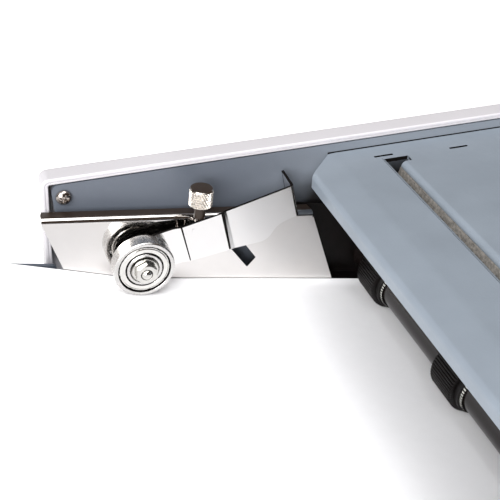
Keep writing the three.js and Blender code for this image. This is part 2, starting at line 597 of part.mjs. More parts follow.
// ---------------------------------------------------------------- near side guide
function nearGuide() {
  const edge = PAPER.far - PAPER.width - FIT;
  const foot = TABLE_TOP + FIT;
  const wall = roundedShape([[-30, 10, 3], [-30, foot], [72, foot], [72, 10, 3]]);
  const ledge = roundedShape([[-2, foot + POLISHED], [-2, foot], [42, foot], [42, foot + POLISHED]]);
  const bracket = join(slab(wall, edge - POLISHED, edge), slab(ledge, edge - 9.2, edge - 0.5));
  const stem = edge - 5.2;
  add(bed, 'near_guide', cut(bracket, post(2.4, foot - 1, foot + 3, 20, stem)), MIRROR);

  const knob = [[0, foot - 5], [2, foot - 5], [2, foot + POLISHED + FIT], [3.6, foot + POLISHED + FIT],
    [3.6, foot + 9], [3, foot + 9.6], [0, foot + 9.6]];
  const turnedKnob = new THREE.LatheGeometry(knob.map(([r, h]) => new THREE.Vector2(r, h)), 22);
  add(bed, 'guide_clamp_knob', turnedKnob.rotateX(PI / 2).translate(20, stem, 0), BLACK);
  const low = TABLE_TOP - SHEET_METAL - FIT;
  add(bed, 'guide_clamp_nut', cut(block(15, 25, stem - 4, stem + 4, low - 2.4, low),
    post(2 + FIT, low - 4, low + 1, 20, stem)), STEEL);
}

base();
sidePanels();
casings();
controls();
feedTable();
loadedSheet();
endPanels();
guidePlate();
holdDown();
wheel();
thumbScrew();
rollers();
gears();
bearingPlates();
motorBracket();
cover();
nearGuide();

export default machine;
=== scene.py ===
import json
import math

import bmesh
import bpy
from mathutils import Matrix, Vector


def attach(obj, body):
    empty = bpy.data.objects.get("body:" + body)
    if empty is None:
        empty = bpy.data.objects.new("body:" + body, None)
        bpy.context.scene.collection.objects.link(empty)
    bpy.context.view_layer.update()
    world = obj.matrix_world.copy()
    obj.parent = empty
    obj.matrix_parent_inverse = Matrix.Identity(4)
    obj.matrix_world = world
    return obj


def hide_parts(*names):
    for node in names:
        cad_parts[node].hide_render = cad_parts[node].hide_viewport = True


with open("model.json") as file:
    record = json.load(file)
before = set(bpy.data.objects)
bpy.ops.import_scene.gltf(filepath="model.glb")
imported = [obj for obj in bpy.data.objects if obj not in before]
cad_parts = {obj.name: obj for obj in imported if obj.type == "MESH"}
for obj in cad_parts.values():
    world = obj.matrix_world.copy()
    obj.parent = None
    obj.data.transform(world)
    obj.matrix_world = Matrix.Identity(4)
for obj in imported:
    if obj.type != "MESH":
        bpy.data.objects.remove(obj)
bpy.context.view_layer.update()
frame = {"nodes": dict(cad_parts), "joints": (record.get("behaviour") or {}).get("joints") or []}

# Looks of the desktop sheet feeder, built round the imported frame.
# Pieces are drawn in millimetres from the centre of the hold-down wheel's front face, in a level
# frame or in one of the pitched frames below, and come out in metres in the row frame.

# ------------------------------------------------------------------ driving dimensions
MM = 0.001
JOINT = {joint["name"]: joint for joint in frame["joints"]}
WHEEL_WIDTH = 6
DATUM = Vector(JOINT["wheel_spin"]["pos_m"]) - Vector((0, WHEEL_WIDTH / 2 * MM, 0))

FIT = 0.3
SHEET_METAL = 1.5
POLISHED = 1.2
FAR_FACE, NEAR_FACE = 18.5, -216            # inner faces of the two side panels
TABLE_TOP = -11.8
FLOOR = -105                                # under the feet

CASE_TOP, CASE_BOTTOM, CASE_WALL = 31, -97, 2.3
CASE_LEFT, CASE_LEFT_FOOT, CASE_RIGHT, CASE_RIGHT_FOOT = -30.2, -37, 224, 232
FAR_OUTER, NEAR_OUTER = 27, -264
PANEL_SCREWS = ((-23.2, 23.4), (213, 22))

COVER_TOP, COVER_FRONT, COVER_BACK, COVER_LIP = 24.8, 65, 206, 6.8
COVER_FAR, COVER_NEAR, COVER_CHAMFER = 18, -215.5, 10.6
SLOT_FROM, SLOT_TO, SLOT_FAR, SLOT_NEAR, FLAP = 95, 99.6, 8, -205.5, 12
HINGE = (200, 14)

BED_PITCH, TAIL_PITCH, GUIDE_PITCH, ARM_PITCH, SCREW_PITCH = 12.5, 20.6, 8.5, -11.5, 5
ROLLER_OUTER, ROLLER_SHAFT, ROLLER_JOURNAL, ROLLER_WIDTH = 11, 7.8, 4, 13.4
ROLLER_PITCH, ROLLER_FIRST, ROLLER_COUNT, ROLLER_FLUTES = 60.2, -2.9, 4, 60
PAPER_TOP, PAPER_FAR, PAPER_WIDTH, PAPER_LENGTH, PAPER_LEAD = -11.2, 10, 210, 297, 104
GUIDE_FACE, GUIDE_BACK, GUIDE_TOP, GUIDE_BEND = 10.3, 15.6, 15.5, 2
ARM_THICK, ARM_PIVOT = 1, (38, -3)
KNOB_X, KNOB_Y, KNOB_Z, KNOB_R, KNOB_H, KNOB_NECK, STUD_R = 21.2, 8.1, 19.8, 4.3, 6.9, 5, 1.45


def frame_pitched(degrees):
    """From millimetres in a frame pitched about the wheel's axis to metres in the row frame."""
    turn = Matrix.Rotation(math.radians(degrees), 4, "Y")
    return Matrix.Translation(DATUM) @ turn @ Matrix.Scale(MM, 4)


LEVEL = frame_pitched(0)
BED = frame_pitched(BED_PITCH)
GUIDE = frame_pitched(GUIDE_PITCH)
ARM = frame_pitched(ARM_PITCH)
SCREW = frame_pitched(SCREW_PITCH)


def shaft_line(joint):
    """x and z of a joint's axis, in millimetres in the level frame."""
    place = (Vector(JOINT[joint]["pos_m"]) - DATUM) / MM
    return place.x, place.z


FEED = shaft_line("feed_spin")
PRESSURE = shaft_line("pressure_spin")
TRANSPORT = shaft_line("transport_spin")
TRANSPORT_LOWER = shaft_line("transport_pressure_spin")
ROLLER_S = FEED[0] * math.cos(math.radians(BED_PITCH)) - FEED[1] * math.sin(math.radians(BED_PITCH))
TRANSPORT_S = (TRANSPORT[0] * math.cos(math.radians(BED_PITCH))
               - TRANSPORT[1] * math.sin(math.radians(BED_PITCH)))


# ------------------------------------------------------------------ outlines
def corner_arc(corner, before, after, radius, steps):
    """Points that round a corner between the directions to its two neighbours."""
    half = math.acos(max(-1, min(1, before.dot(after)))) / 2
    if radius == 0 or half > math.pi / 2 - 1e-3:
        return [corner]
    start = corner + before * radius / math.tan(half)
    end = corner + after * radius / math.tan(half)
    centre = corner + (before + after).normalized() * radius / math.sin(half)
    first = math.atan2(*reversed(start - centre))
    last = math.atan2(*reversed(end - centre))
    sweep = (last - first + math.pi) % (2 * math.pi) - math.pi
    angles = [first + sweep * k / steps for k in range(steps + 1)]
    return [centre + Vector((math.cos(a), math.sin(a))) * radius for a in angles]


def rounded(corners, steps=8):
    """Closed outline whose (x, y, radius) corners are rounded."""
    points = []
    for i, (x, y, *radius) in enumerate(corners):
        corner = Vector((x, y))
        before = (Vector(corners[i - 1][:2]) - corner).normalized()
        after = (Vector(corners[(i + 1) % len(corners)][:2]) - corner).normalized()
        points += corner_arc(corner, before, after, radius[0] if radius else 0, steps)
    return points


def bent_line(path, steps=8):
    """Open line whose inner (x, y, radius) corners are rounded."""
    line = [Vector(path[0][:2])]
    for i in range(1, len(path) - 1):
        corner = Vector(path[i][:2])
        before = (Vector(path[i - 1][:2]) - corner).normalized()
        after = (Vector(path[i + 1][:2]) - corner).normalized()
        line += corner_arc(corner, before, after, path[i][2] if len(path[i]) > 2 else 0, steps)
    return line + [Vector(path[-1][:2])]


def beside(line, distance):
    """The line moved to its left by a distance."""
    moved = []
    for i, point in enumerate(line):
        along = (line[min(i + 1, len(line) - 1)] - line[max(i - 1, 0)]).normalized()
        moved.append(point + Vector((-along.y, along.x)) * distance)
    return moved


def rectangle(x0, x1, y0, y1, radius=0.0):
    """Closed rectangular outline with its corners rounded."""
    return rounded([(x0, y0, radius), (x1, y0, radius), (x1, y1, radius), (x0, y1, radius)])


# ------------------------------------------------------------------ solids, in millimetres
AXES = {"X": (1, 2, 0), "Y": (0, 2, 1), "Z": (0, 1, 2)}


def lift(point, height, axis):
    """A point of an outline at a height along an axis, as x, y and z."""
    place = [0.0, 0.0, 0.0]
    a, b, c = AXES[axis]
    place[a], place[b], place[c] = point[0], point[1], height
    return place


def loft(rings, axis="Y", closed=False):
    """Closed body through rings of (points, height), capped at both ends or joined end to end."""
    bm = bmesh.new()
    rows = [[bm.verts.new(lift(p, height, axis)) for p in points] for points, height in rings]
    pairs = list(zip(rows, rows[1:])) + ([(rows[-1], rows[0])] if closed else [])
    for low, high in pairs:
        for i in range(len(low)):
            j = (i + 1) % len(low)
            bm.faces.new((low[i], low[j], high[j], high[i]))
    if not closed:
        bm.faces.new(rows[0])
        bm.faces.new(rows[-1])
    bmesh.ops.recalc_face_normals(bm, faces=bm.faces)
    return bm


def prism(outline, low, high, axis="Y"):
    """An outline extruded along an axis."""
    return loft([(outline, low), (outline, high)], axis)


def box(x0, x1, y0, y1, z0, z1):
    return prism(rectangle(x0, x1, y0, y1), z0, z1, "Z")


def sheet(path, thickness, low, high, axis="Y", steps=8):
    """Bent sheet metal: a rounded path thickened to its left and extruded, in clean quads."""
    line = bent_line(path, steps)
    other = beside(line, thickness)
    bm = bmesh.new()
    rows = [[bm.verts.new(lift(p, h, axis)) for p, h in ((a, low), (b, low), (b, high), (a, high))]
            for a, b in zip(line, other)]
    for near, far in zip(rows, rows[1:]):
        for i in range(4):
            j = (i + 1) % 4
            bm.faces.new((near[i], near[j], far[j], far[i]))
    bm.faces.new(rows[0])
    bm.faces.new(rows[-1])
    bmesh.ops.recalc_face_normals(bm, faces=bm.faces)
    return bm


def turned(profile, segments=96, axis="Y", at=(0, 0, 0), reshape=None):
    """Body turned about an axis from a closed list of (radius, height)."""
    bm = bmesh.new()
    rings = []
    for radius, height in profile:
        if radius == 0:
            rings.append([bm.verts.new(lift((0, 0), height, axis))])
            continue
        ring = []
        for k in range(segments):
            angle = 2 * math.pi * k / segments
            r = reshape(radius, height, angle) if reshape else radius
            ring.append(bm.verts.new(lift((r * math.cos(angle), r * math.sin(angle)), height, axis)))
        rings.append(ring)
    for low, high in zip(rings, rings[1:] + rings[:1]):
        if len(low) == 1 and len(high) == 1:
            continue
        for k in range(segments):
            n = (k + 1) % segments
            corners = [low[k % len(low)], low[n % len(low)], high[n % len(high)], high[k % len(high)]]
            bm.faces.new(list(dict.fromkeys(corners)))
    bmesh.ops.recalc_face_normals(bm, faces=bm.faces)
    bmesh.ops.translate(bm, verts=bm.verts, vec=Vector(at))
    return bm


def soft(profile, radius=0.3, steps=3):
    """A turned profile with its corners off the axis rounded."""
    points = []
    for i, (r, h) in enumerate(profile):
        corner = Vector((r, h))
        before = Vector(profile[i - 1]) - corner
        after = Vector(profile[(i + 1) % len(profile)]) - corner
        size = min(radius, before.length * 0.45, after.length * 0.45)
        if r == 0 or size < 0.02:
            points.append((r, h))
            continue
        half = math.acos(max(-1, min(1, before.normalized().dot(after.normalized())))) / 2
        if half > math.pi / 2 - 0.05:
            points.append((r, h))
            continue
        arc = corner_arc(corner, before.normalized(), after.normalized(), size * math.tan(half), steps)
        points += [tuple(p) for p in arc]
    return points


def combine(body, tools, operation):
    """Applies exact booleans to a bmesh and returns the new bmesh."""
    made = []
    for bm in (body, *tools):
        mesh = bpy.data.meshes.new("tool")
        bm.to_mesh(mesh)
        bm.free()
        made.append(bpy.data.objects.new("tool", mesh))
        bpy.context.scene.collection.objects.link(made[-1])
    for tool in made[1:]:
        modifier = made[0].modifiers.new("cut", "BOOLEAN")
        modifier.object = tool
        modifier.operation = operation
        modifier.solver = "EXACT"
    evaluated = made[0].evaluated_get(bpy.context.evaluated_depsgraph_get())
    result = bmesh.new()
    result.from_mesh(evaluated.to_mesh())
    evaluated.to_mesh_clear()
    for item in made:
        mesh = item.data
        bpy.data.objects.remove(item)
        bpy.data.meshes.remove(mesh)
    bmesh.ops.remove_doubles(result, verts=result.verts, dist=0.002)
    bmesh.ops.dissolve_degenerate(result, edges=result.edges, dist=0.002)
    return result


def cut(body, *tools):
    return combine(body, tools, "DIFFERENCE")


def join(body, *tools):
    return combine(body, tools, "UNION")


def common(body, *tools):
    return combine(body, tools, "INTERSECT")


def rotated(bm, degrees, centre=(0, 0, 0)):
    """The body turned about Y through a point."""
    turn = Matrix.Rotation(math.radians(degrees), 3, "Y")
    bmesh.ops.rotate(bm, verts=bm.verts, cent=Vector(centre), matrix=turn)
    return bm


def rod(radius, y0, y1, x=0.0, z=0.0, segments=48):
    """Cylinder along Y."""
    return turned([(0, y0), (radius, y0), (radius, y1), (0, y1)], segments, "Y", (x, 0, z))


def post(radius, z0, z1, x=0.0, y=0.0, segments=48):
    """Cylinder along Z."""
    return turned([(0, z0), (radius, z0), (radius, z1), (0, z1)], segments, "Z", (x, y, 0))


def thread(radius, low, high, pitch=0.5, depth=0.16):
    """Profile points of a thread's ridges along a stud, from low to high."""
    count = int((high - low) / pitch)
    points = []
    for k in range(count):
        points += [(radius, low + pitch * (k + 0.15)), (radius - depth, low + pitch * (k + 0.65))]
    return points


# ------------------------------------------------------------------ placing pieces
def place(name, bm, where, material, body, slot, replaces=(), edge=0.0, smooth=32, accent=None):
    """Makes a visible piece that rides on a body. edge is the radius left on sharp edges, in mm.
    accent is a second material and a test of (normal, centre) for the faces that take it."""
    bmesh.ops.recalc_face_normals(bm, faces=bm.faces)
    if accent:
        bm.normal_update()
        for face in bm.faces:
            face.material_index = int(accent[1](face.normal, face.calc_center_median()))
    mesh = bpy.data.meshes.new(name)
    bm.to_mesh(mesh)
    bm.free()
    mesh.transform(where)
    mesh.materials.append(material)
    if accent:
        mesh.materials.append(accent[0])
    mesh.shade_smooth()
    item = bpy.data.objects.new(name, mesh)
    bpy.context.scene.collection.objects.link(item)
    if edge:
        bevel = item.modifiers.new("edges", "BEVEL")
        bevel.width = edge * MM
        bevel.segments = 3
        bevel.limit_method = "ANGLE"
        bevel.angle_limit = math.radians(smooth)
        bevel.use_clamp_overlap = True
        bevel.miter_outer = "MITER_ARC"
    else:
        mesh.set_sharp_from_angle(angle=math.radians(smooth))
    normals = item.modifiers.new("normals", "WEIGHTED_NORMAL")
    normals.keep_sharp = True
    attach(item, body)
    if replaces:
        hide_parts(*replaces)
    return item


def dress(node, material, edge=0.12):
    """A CAD node that stays: a finished material and softened edges."""
    item = frame["nodes"][node]
    item.data.materials.clear()
    item.data.materials.append(material)
    bevel = item.modifiers.new("edges", "BEVEL")
    bevel.width = edge * MM
    bevel.segments = 2
    bevel.limit_method = "ANGLE"
    bevel.angle_limit = math.radians(30)


# ------------------------------------------------------------------ materials
def linear(red, green, blue):
    """Screen colour from 0 to 255 as the linear colour that the shader takes."""
    def channel(value):
        v = value / 255
        return v / 12.92 if v <= 0.04045 else ((v + 0.055) / 1.055) ** 2.4
    return channel(red), channel(green), channel(blue), 1.0


class Shader:
    """A principled material whose maps are added one after the other."""

    def __init__(self, name, color, roughness, metallic=0.0, **sockets):
        self.material = bpy.data.materials.new(name)
        self.material.use_nodes = True
        self.tree = self.material.node_tree
        self.bsdf = self.tree.nodes["Principled BSDF"]
        self.color = color
        self.bsdf.inputs["Base Color"].default_value = color
        self.bsdf.inputs["Roughness"].default_value = roughness
        self.bsdf.inputs["Metallic"].default_value = metallic
        for socket, value in sockets.items():
            self.bsdf.inputs[socket.replace("_", " ")].default_value = value
        self.roughness = roughness
        self.height = None

    def add(self, kind, **values):
        node = self.tree.nodes.new(kind)
        for key, value in values.items():
            if key in node.inputs:
                node.inputs[key].default_value = value
            else:
                setattr(node, key, value)
        return node

    def link(self, source, target):
        self.tree.links.new(source, target)

    def coordinates(self, stretch=(1, 1, 1)):
        texture = self.add("ShaderNodeTexCoord")
        mapping = self.add("ShaderNodeMapping")
        mapping.inputs["Scale"].default_value = stretch
        self.link(texture.outputs["Object"], mapping.inputs["Vector"])
        return mapping.outputs["Vector"]

    def noise(self, scale, detail=3.0, stretch=(1, 1, 1), vector=None):
        node = self.add("ShaderNodeTexNoise", Scale=scale, Detail=detail)
        self.link(vector or self.coordinates(stretch), node.inputs["Vector"])
        return node.outputs["Fac"]

    def ramp(self, source, low, high, start=0.3, end=0.7):
        node = self.add("ShaderNodeMapRange")
        for key, value in (("From Min", start), ("From Max", end), ("To Min", low), ("To Max", high)):
            node.inputs[key].default_value = value
        self.link(source, node.inputs["Value"])
        return node.outputs["Result"]

    def mottle(self, scale, amount, stretch=(1, 1, 1), tint=(1.0, 1.0, 1.0)):
        """Base colour that drifts a little lighter and darker, towards a tint."""
        factor = self.ramp(self.noise(scale, 4, stretch), 0, 1)
        mix = self.add("ShaderNodeMix", data_type="RGBA")
        dark = [c * (1 - amount) for c in self.color[:3]]
        light = [min(1, c * (1 + amount) * t) for c, t in zip(self.color[:3], tint)]
        mix.inputs[6].default_value = (*dark, 1)
        mix.inputs[7].default_value = (*light, 1)
        self.link(factor, mix.inputs[0])
        self.link(mix.outputs[2], self.bsdf.inputs["Base Color"])
        return self

    def gloss(self, scale, spread, stretch=(1, 1, 1)):
        """Roughness that varies over the surface."""
        low, high = max(0.02, self.roughness - spread), self.roughness + spread
        self.link(self.ramp(self.noise(scale, 5, stretch), low, high), self.bsdf.inputs["Roughness"])
        return self

    def grain(self, scale, depth_mm, stretch=(1, 1, 1), detail=2.0, strength=1.0):
        """Bump of a given depth, added on top of the bumps already there."""
        bump = self.add("ShaderNodeBump", Strength=strength, Distance=depth_mm * MM)
        self.link(self.noise(scale, detail, stretch), bump.inputs["Height"])
        return self._stack(bump)

    def lathe_marks(self, centre, pitch_mm, depth_mm, strength=0.6):
        """Fine rings round an axis along Y: the marks that a turning tool leaves."""
        shift = self.add("ShaderNodeVectorMath", operation="SUBTRACT")
        self.link(self.add("ShaderNodeTexCoord").outputs["Object"], shift.inputs[0])
        shift.inputs[1].default_value = centre
        flat = self.add("ShaderNodeVectorMath", operation="MULTIPLY")
        flat.inputs[1].default_value = (1, 0, 1)
        self.link(shift.outputs["Vector"], flat.inputs[0])
        length = self.add("ShaderNodeVectorMath", operation="LENGTH")
        self.link(flat.outputs["Vector"], length.inputs[0])
        line = self.add("ShaderNodeTexNoise", Scale=1 / (pitch_mm * MM), Detail=2.0)
        line.noise_dimensions = "1D"
        self.link(length.outputs["Value"], line.inputs["W"])
        bump = self.add("ShaderNodeBump", Strength=strength, Distance=depth_mm * MM)
        self.link(line.outputs["Fac"], bump.inputs["Height"])
        return self._stack(bump)

    def _stack(self, bump):
        if self.height is not None:
            self.link(self.height, bump.inputs["Normal"])
        self.height = bump.outputs["Normal"]
        self.link(self.height, self.bsdf.inputs["Normal"])
        return self


def powder_coat(name, color, roughness=0.42):
    """Satin powder coat: orange peel with a fine speckle."""
    shader = Shader(name, color, roughness, Coat_Weight=0.12, Coat_Roughness=0.25)
    return shader.mottle(55, 0.05).gloss(300, 0.05).grain(900, 0.03).grain(4200, 0.012).material


def polished_sheet(name, color, roughness, stretch):
    """Polished stainless sheet: faint rolling lines one way and a slow waviness."""
    shader = Shader(name, color, roughness, 1.0)
    return (shader.mottle(30, 0.03, tint=(1.0, 0.985, 0.97)).gloss(90, 0.03, stretch)
            .grain(16, 0.05, detail=1.0, strength=0.25).grain(700, 0.004, stretch, strength=0.5).material)


def turned_steel(name, color, roughness, centre):
    """Steel with rings left by the lathe or grinder."""
    shader = Shader(name, color, roughness, 1.0)
    return shader.mottle(400, 0.05).gloss(600, 0.05).lathe_marks(centre, 0.18, 0.012).material


def panel_paint_with_painted_shade_and_light(name, color):
    """Panel paint with painted shadow and painted sheen: near-black towards the feed opening under the
    cover, and lighter towards the right.
    """
    shader = Shader(name, color, 0.42)
    shader.mottle(55, 0.05).gloss(300, 0.05).grain(900, 0.03).grain(4200, 0.012)
    parts = shader.add("ShaderNodeSeparateXYZ")
    shader.link(shader.add("ShaderNodeTexCoord").outputs["Object"], parts.inputs[0])
    slope = shader.add("ShaderNodeMath", operation="MULTIPLY_ADD")
    slope.inputs[1].default_value = -0.6
    shader.link(parts.outputs["Z"], slope.inputs[0])
    shader.link(parts.outputs["X"], slope.inputs[2])
    # Painted shadow: below the cover's front edge the paint goes over into near-black towards the nip.
    start = (DATUM.x + 60 * MM) - 0.6 * (DATUM.z + 14 * MM)
    across = shader.ramp(slope.outputs[0], 0, 1, start, start + 15 * MM)
    below = shader.ramp(parts.outputs["Z"], 1, 0, DATUM.z + 12 * MM, DATUM.z + 19 * MM)
    painted_shadow = shader.add("ShaderNodeMath", operation="MULTIPLY")
    shader.link(across, painted_shadow.inputs[0])
    shader.link(below, painted_shadow.inputs[1])
    # Painted sheen: between 35 and 95 mm along x the paint turns lighter, as the lamps' sheen would make it.
    painted_light = shader.ramp(parts.outputs["X"], 0, 1, DATUM.x + 35 * MM, DATUM.x + 95 * MM)
    for factor, target in ((painted_light, linear(128, 135, 144)), (painted_shadow.outputs[0], linear(14, 12, 13))):
        mix = shader.add("ShaderNodeMix", data_type="RGBA")
        mix.inputs[7].default_value = target
        shader.link(factor, mix.inputs[0])
        shader.link(shader.bsdf.inputs["Base Color"].links[0].from_socket, mix.inputs[6])
        shader.link(mix.outputs[2], shader.bsdf.inputs["Base Color"])
    return shader.material


def moulded(name, color, roughness=0.5, texture=0.02):
    """Moulded plastic with a fine spark-eroded texture."""
    shader = Shader(name, color, roughness)
    return shader.mottle(40, 0.02).gloss(250, 0.05).grain(1800, texture).material


WHEEL_CENTRE = tuple(DATUM)
M_CASING = moulded("casing_plastic", linear(203, 201, 205), 0.38, 0.012)
M_PANEL = powder_coat("panel_paint", linear(93, 99, 109))
# The far panel's paint carries a painted shadow near the feed opening and a painted sheen to the right.
M_FAR_PANEL_PAINTED_SHADE = panel_paint_with_painted_shade_and_light("far_panel_paint_painted_shade_and_light", linear(93, 99, 109))
M_TABLE = powder_coat("table_paint", linear(98, 106, 117))
M_COVER = powder_coat("cover_paint", linear(130, 139, 149), 0.38)
M_LINING = Shader("slot_felt", linear(118, 114, 108), 0.8).mottle(900, 0.45).grain(1500, 0.12).material
# Near-black painted shade: the walls and floors of gaps, bend lines and slits, and dark strips put where
# shade falls.
M_PAINTED_SHADE = (Shader("shadow_black", linear(12, 9, 8), 0.6, Specular_IOR_Level=0.1).mottle(300, 0.2)
            .gloss(500, 0.1).material)
M_MIRROR = polished_sheet("polished_steel", (0.72, 0.705, 0.695, 1), 0.07, (1, 1, 14))
# Dark brown painted reflection: stands for polished steel that mirrors a dark part of the room.
M_PAINTED_DARK_REFLECTION = (Shader("steel_with_painted_dark_reflection", linear(48, 38, 31), 0.34, 0.2).mottle(60, 0.08)
            .gloss(200, 0.05, (1, 14, 1)).material)
M_ARM = polished_sheet("spring_steel", (0.82, 0.81, 0.805, 1), 0.09, (1, 1, 14))
M_RING = turned_steel("bearing_ring", (0.66, 0.65, 0.635, 1), 0.26, WHEEL_CENTRE)
M_SHIELD = turned_steel("bearing_shield", (0.76, 0.75, 0.72, 1), 0.2, WHEEL_CENTRE)
M_FASTENER = turned_steel("turned_steel", (0.66, 0.65, 0.62, 1), 0.18, WHEEL_CENTRE)
M_KNURL = (Shader("knurled_nickel", (0.74, 0.70, 0.65, 1), 0.2, 1.0).mottle(900, 0.08)
           .gloss(1500, 0.06).material)
M_SCREW = Shader("screw_steel", (0.46, 0.42, 0.39, 1), 0.14, 1.0).mottle(800, 0.1).gloss(1200, 0.08).material
M_SHAFT = (Shader("shaft_steel", linear(22, 17, 16), 0.16, Specular_IOR_Level=0.45).mottle(120, 0.12)
           .gloss(300, 0.08, (1, 12, 1)).grain(900, 0.006, (14, 1, 14)).material)
M_ZINC = (Shader("zinc_plate", (0.60, 0.62, 0.64, 1), 0.38, 1.0).mottle(45, 0.12)
          .gloss(160, 0.1).grain(500, 0.01).material)
M_RUBBER = (Shader("black_rubber", linear(11, 8, 8), 0.45, Specular_IOR_Level=0.22)
            .mottle(160, 0.35, tint=(1.1, 1.05, 1.0)).gloss(400, 0.12).grain(2600, 0.03).material)
M_BLACK = moulded("black_plastic", linear(20, 18, 19), 0.5, 0.03)
M_NYLON = moulded("nylon", linear(196, 196, 190), 0.5, 0.015)
M_COLLAR = (Shader("dark_nylon", linear(14, 11, 11), 0.45, Specular_IOR_Level=0.25).mottle(200, 0.2)
            .gloss(500, 0.1).grain(1800, 0.02).material)
M_PAPER = (Shader("paper", linear(250, 250, 252), 0.85, Sheen_Weight=0.05).mottle(220, 0.012)
           .grain(2400, 0.012, (1, 2.2, 1), detail=4.0).material)
M_FLOOR = (Shader("studio_floor", linear(250, 250, 250), 0.8, Emission_Color=(1, 1, 1, 1),
                  Emission_Strength=0.45)
           .mottle(3, 0.01).grain(60, 0.05).material)


# ------------------------------------------------------------------ casings and panels
def case_outline(inset):
    """Side view of a casing, moved inwards by an inset."""
    radius = max(3 - inset, 0.5)
    foot = max(2 - inset, 0.4)
    return rounded([(CASE_LEFT + inset, CASE_TOP - inset, radius),
                    (CASE_LEFT_FOOT + inset, CASE_BOTTOM + inset, foot),
                    (CASE_RIGHT_FOOT - inset, CASE_BOTTOM + inset, foot),
                    (CASE_RIGHT - inset, CASE_TOP - inset, radius)], 10)


def casing_shell(lip, outward, depth):
    """Open moulded shell. Its lip has a fine shadow groove and its outer edge a full radius."""
    edge = 1.6
    section = [(CASE_WALL, depth - CASE_WALL), (CASE_WALL, 0.35), (2.15, 0.08), (2.0, 0), (1.5, 0),
               (1.42, 0.3), (1.12, 0.3), (1.04, 0), (0.55, 0), (0.25, 0.1), (0.08, 0.28), (0, 0.6)]
    for k in range(7):
        angle = math.pi / 2 * k / 6
        section.append((edge * (1 - math.cos(angle)), depth - edge * (1 - math.sin(angle))))
    return loft([(case_outline(inset), lip + outward * d) for inset, d in section])


def pan_head(name, x, y, z, where, facing, body, slot, replaces=()):
    """Cross-recessed pan-head screw whose head faces along Y."""
    head = [(0, -2.1), (0.9, -2.03), (1.7, -1.8), (2.3, -1.4), (2.65, -0.95), (2.8, -0.5), (2.8, -0.2),
            (1.4, -0.15), (1.4, 4.8), (0, 5)]
    bm = turned(head, 48)
    arms = [box(-1.65, 1.65, -3, -0.95, -0.28, 0.28), box(-0.28, 0.28, -3, -0.95, -1.65, 1.65)]
    hub = turned([(0, -3), (0.95, -3), (0.55, -0.75), (0, -0.6)], 24)
    bm = cut(bm, *[rotated(arm, 24) for arm in arms], hub)
    if facing > 0:
        bmesh.ops.rotate(bm, verts=bm.verts, cent=(0, 0, 0), matrix=Matrix.Rotation(math.pi, 3, "Z"))
    bmesh.ops.translate(bm, verts=bm.verts, vec=(x, y, z))
    place(name, bm, where, M_SCREW, body, slot, replaces, edge=0.06, smooth=40)


def casings():
    """The thin far casing and the deep near casing with its controls, inlet, vents and screws."""
    far = casing_shell(FAR_FACE - 0.2, 1, FAR_OUTER - FAR_FACE + 0.2)
    place("far_casing_shell", far, LEVEL, M_CASING, "chassis", "casing", ("side_casing_far",), smooth=40)

    near = casing_shell(NEAR_FACE + 0.2, -1, NEAR_FACE + 0.2 - NEAR_OUTER)
    rocker = prism(rectangle(-7, 11, -246, -234, 1), 26, 33, "Z")
    button = post(5.4, 26, 33, 26, -240)
    inlet = prism(rectangle(-253.8, -226.2, -79.8, -58.2, 1.4), 210, 240, "X")
    vents = [prism(rectangle(150 + 9 * k, 153.2 + 9 * k, -72, -34, 1.5), -266, -260) for k in range(6)]
    fixings = [(x, z) for x in (-18, 208) for z in (12, -84)]
    wells = [rod(3.2, NEAR_OUTER - 1, NEAR_OUTER + 1.9, *spot) for spot in fixings]
    near = cut(near, rocker, button, inlet, *vents, *wells)
    place("near_casing_shell", near, LEVEL, M_CASING, "chassis", "casing", ("side_casing_near",),
          edge=0.25, smooth=42)
    names = ("front_top", "front_foot", "rear_top", "rear_foot")
    for name, (x, z) in zip(names, fixings):
        pan_head(f"case_screw_{name}", x, NEAR_OUTER + 2.15, z, LEVEL, -1, "chassis", "screw_steel")


def side_panels():
    """The two blue-grey side sheets and the screws that hold the far one."""
    sill = CASE_BOTTOM + CASE_WALL + FIT
    outline = rounded([(-27.2, 28.3, 3), (-21.8, sill), (216, sill), (221, 28.3, 3)], 10)
    for side, y in (("far", FAR_FACE), ("near", NEAR_FACE - SHEET_METAL)):
        bores = [rod(6, y - 1, y + 3, *line) for line in (FEED, PRESSURE, TRANSPORT, TRANSPORT_LOWER)]
        bores += [rod(1.8, y - 1, y + 3, *screw) for screw in PANEL_SCREWS]
        bores.append(rod(2.8, y - 1, y + 3, *HINGE))
        panel = cut(prism(outline, y, y + SHEET_METAL), *bores)
        paint = M_FAR_PANEL_PAINTED_SHADE if side == "far" else M_PANEL
        place(f"{side}_side_sheet", panel, LEVEL, paint, "chassis", "blue_grey",
              (f"side_panel_{side}",), edge=0.3)
    for end, (x, z) in zip(("front", "rear"), PANEL_SCREWS):
        pan_head(f"{end}_panel_fixing", x, FAR_FACE, z, LEVEL, -1, "chassis", "screw_steel",
                 (f"panel_screw_{end}",))


def base_and_feet():
    """Base sheet with drain slots, and four rubber feet."""
    plate_top = CASE_BOTTOM - FIT
    outline = rectangle(CASE_LEFT_FOOT + 1, CASE_RIGHT_FOOT - 1, NEAR_OUTER + 2, FAR_OUTER - 2, 4)
    drains = [prism(rectangle(40 + 16 * k, 44 + 16 * k, -150, -60, 2), -101, -95, "Z") for k in range(8)]
    base = cut(prism(outline, plate_top - 1.7, plate_top, "Z"), *drains)
    place("base_sheet", base, LEVEL, M_ZINC, "chassis", "zinc", ("base_plate",), edge=0.25)
    top = plate_top - 1.7 - FIT
    profile = soft([(0, FLOOR + 1.6), (3.2, FLOOR + 1.6), (3.4, FLOOR), (8.2, FLOOR), (9, top),
                    (0, top)], 0.7, 5)
    for end, x in (("front", CASE_LEFT_FOOT + 16), ("rear", CASE_RIGHT_FOOT - 16)):
        for side, y in (("far", FAR_OUTER - 16), ("near", NEAR_OUTER + 16)):
            foot = turned(profile, 48, "Z", (x, y, 0))
            place(f"rubber_foot_{end}_{side}", foot, LEVEL, M_RUBBER, "chassis", "rubber",
                  (f"foot_{end}_{side}",))


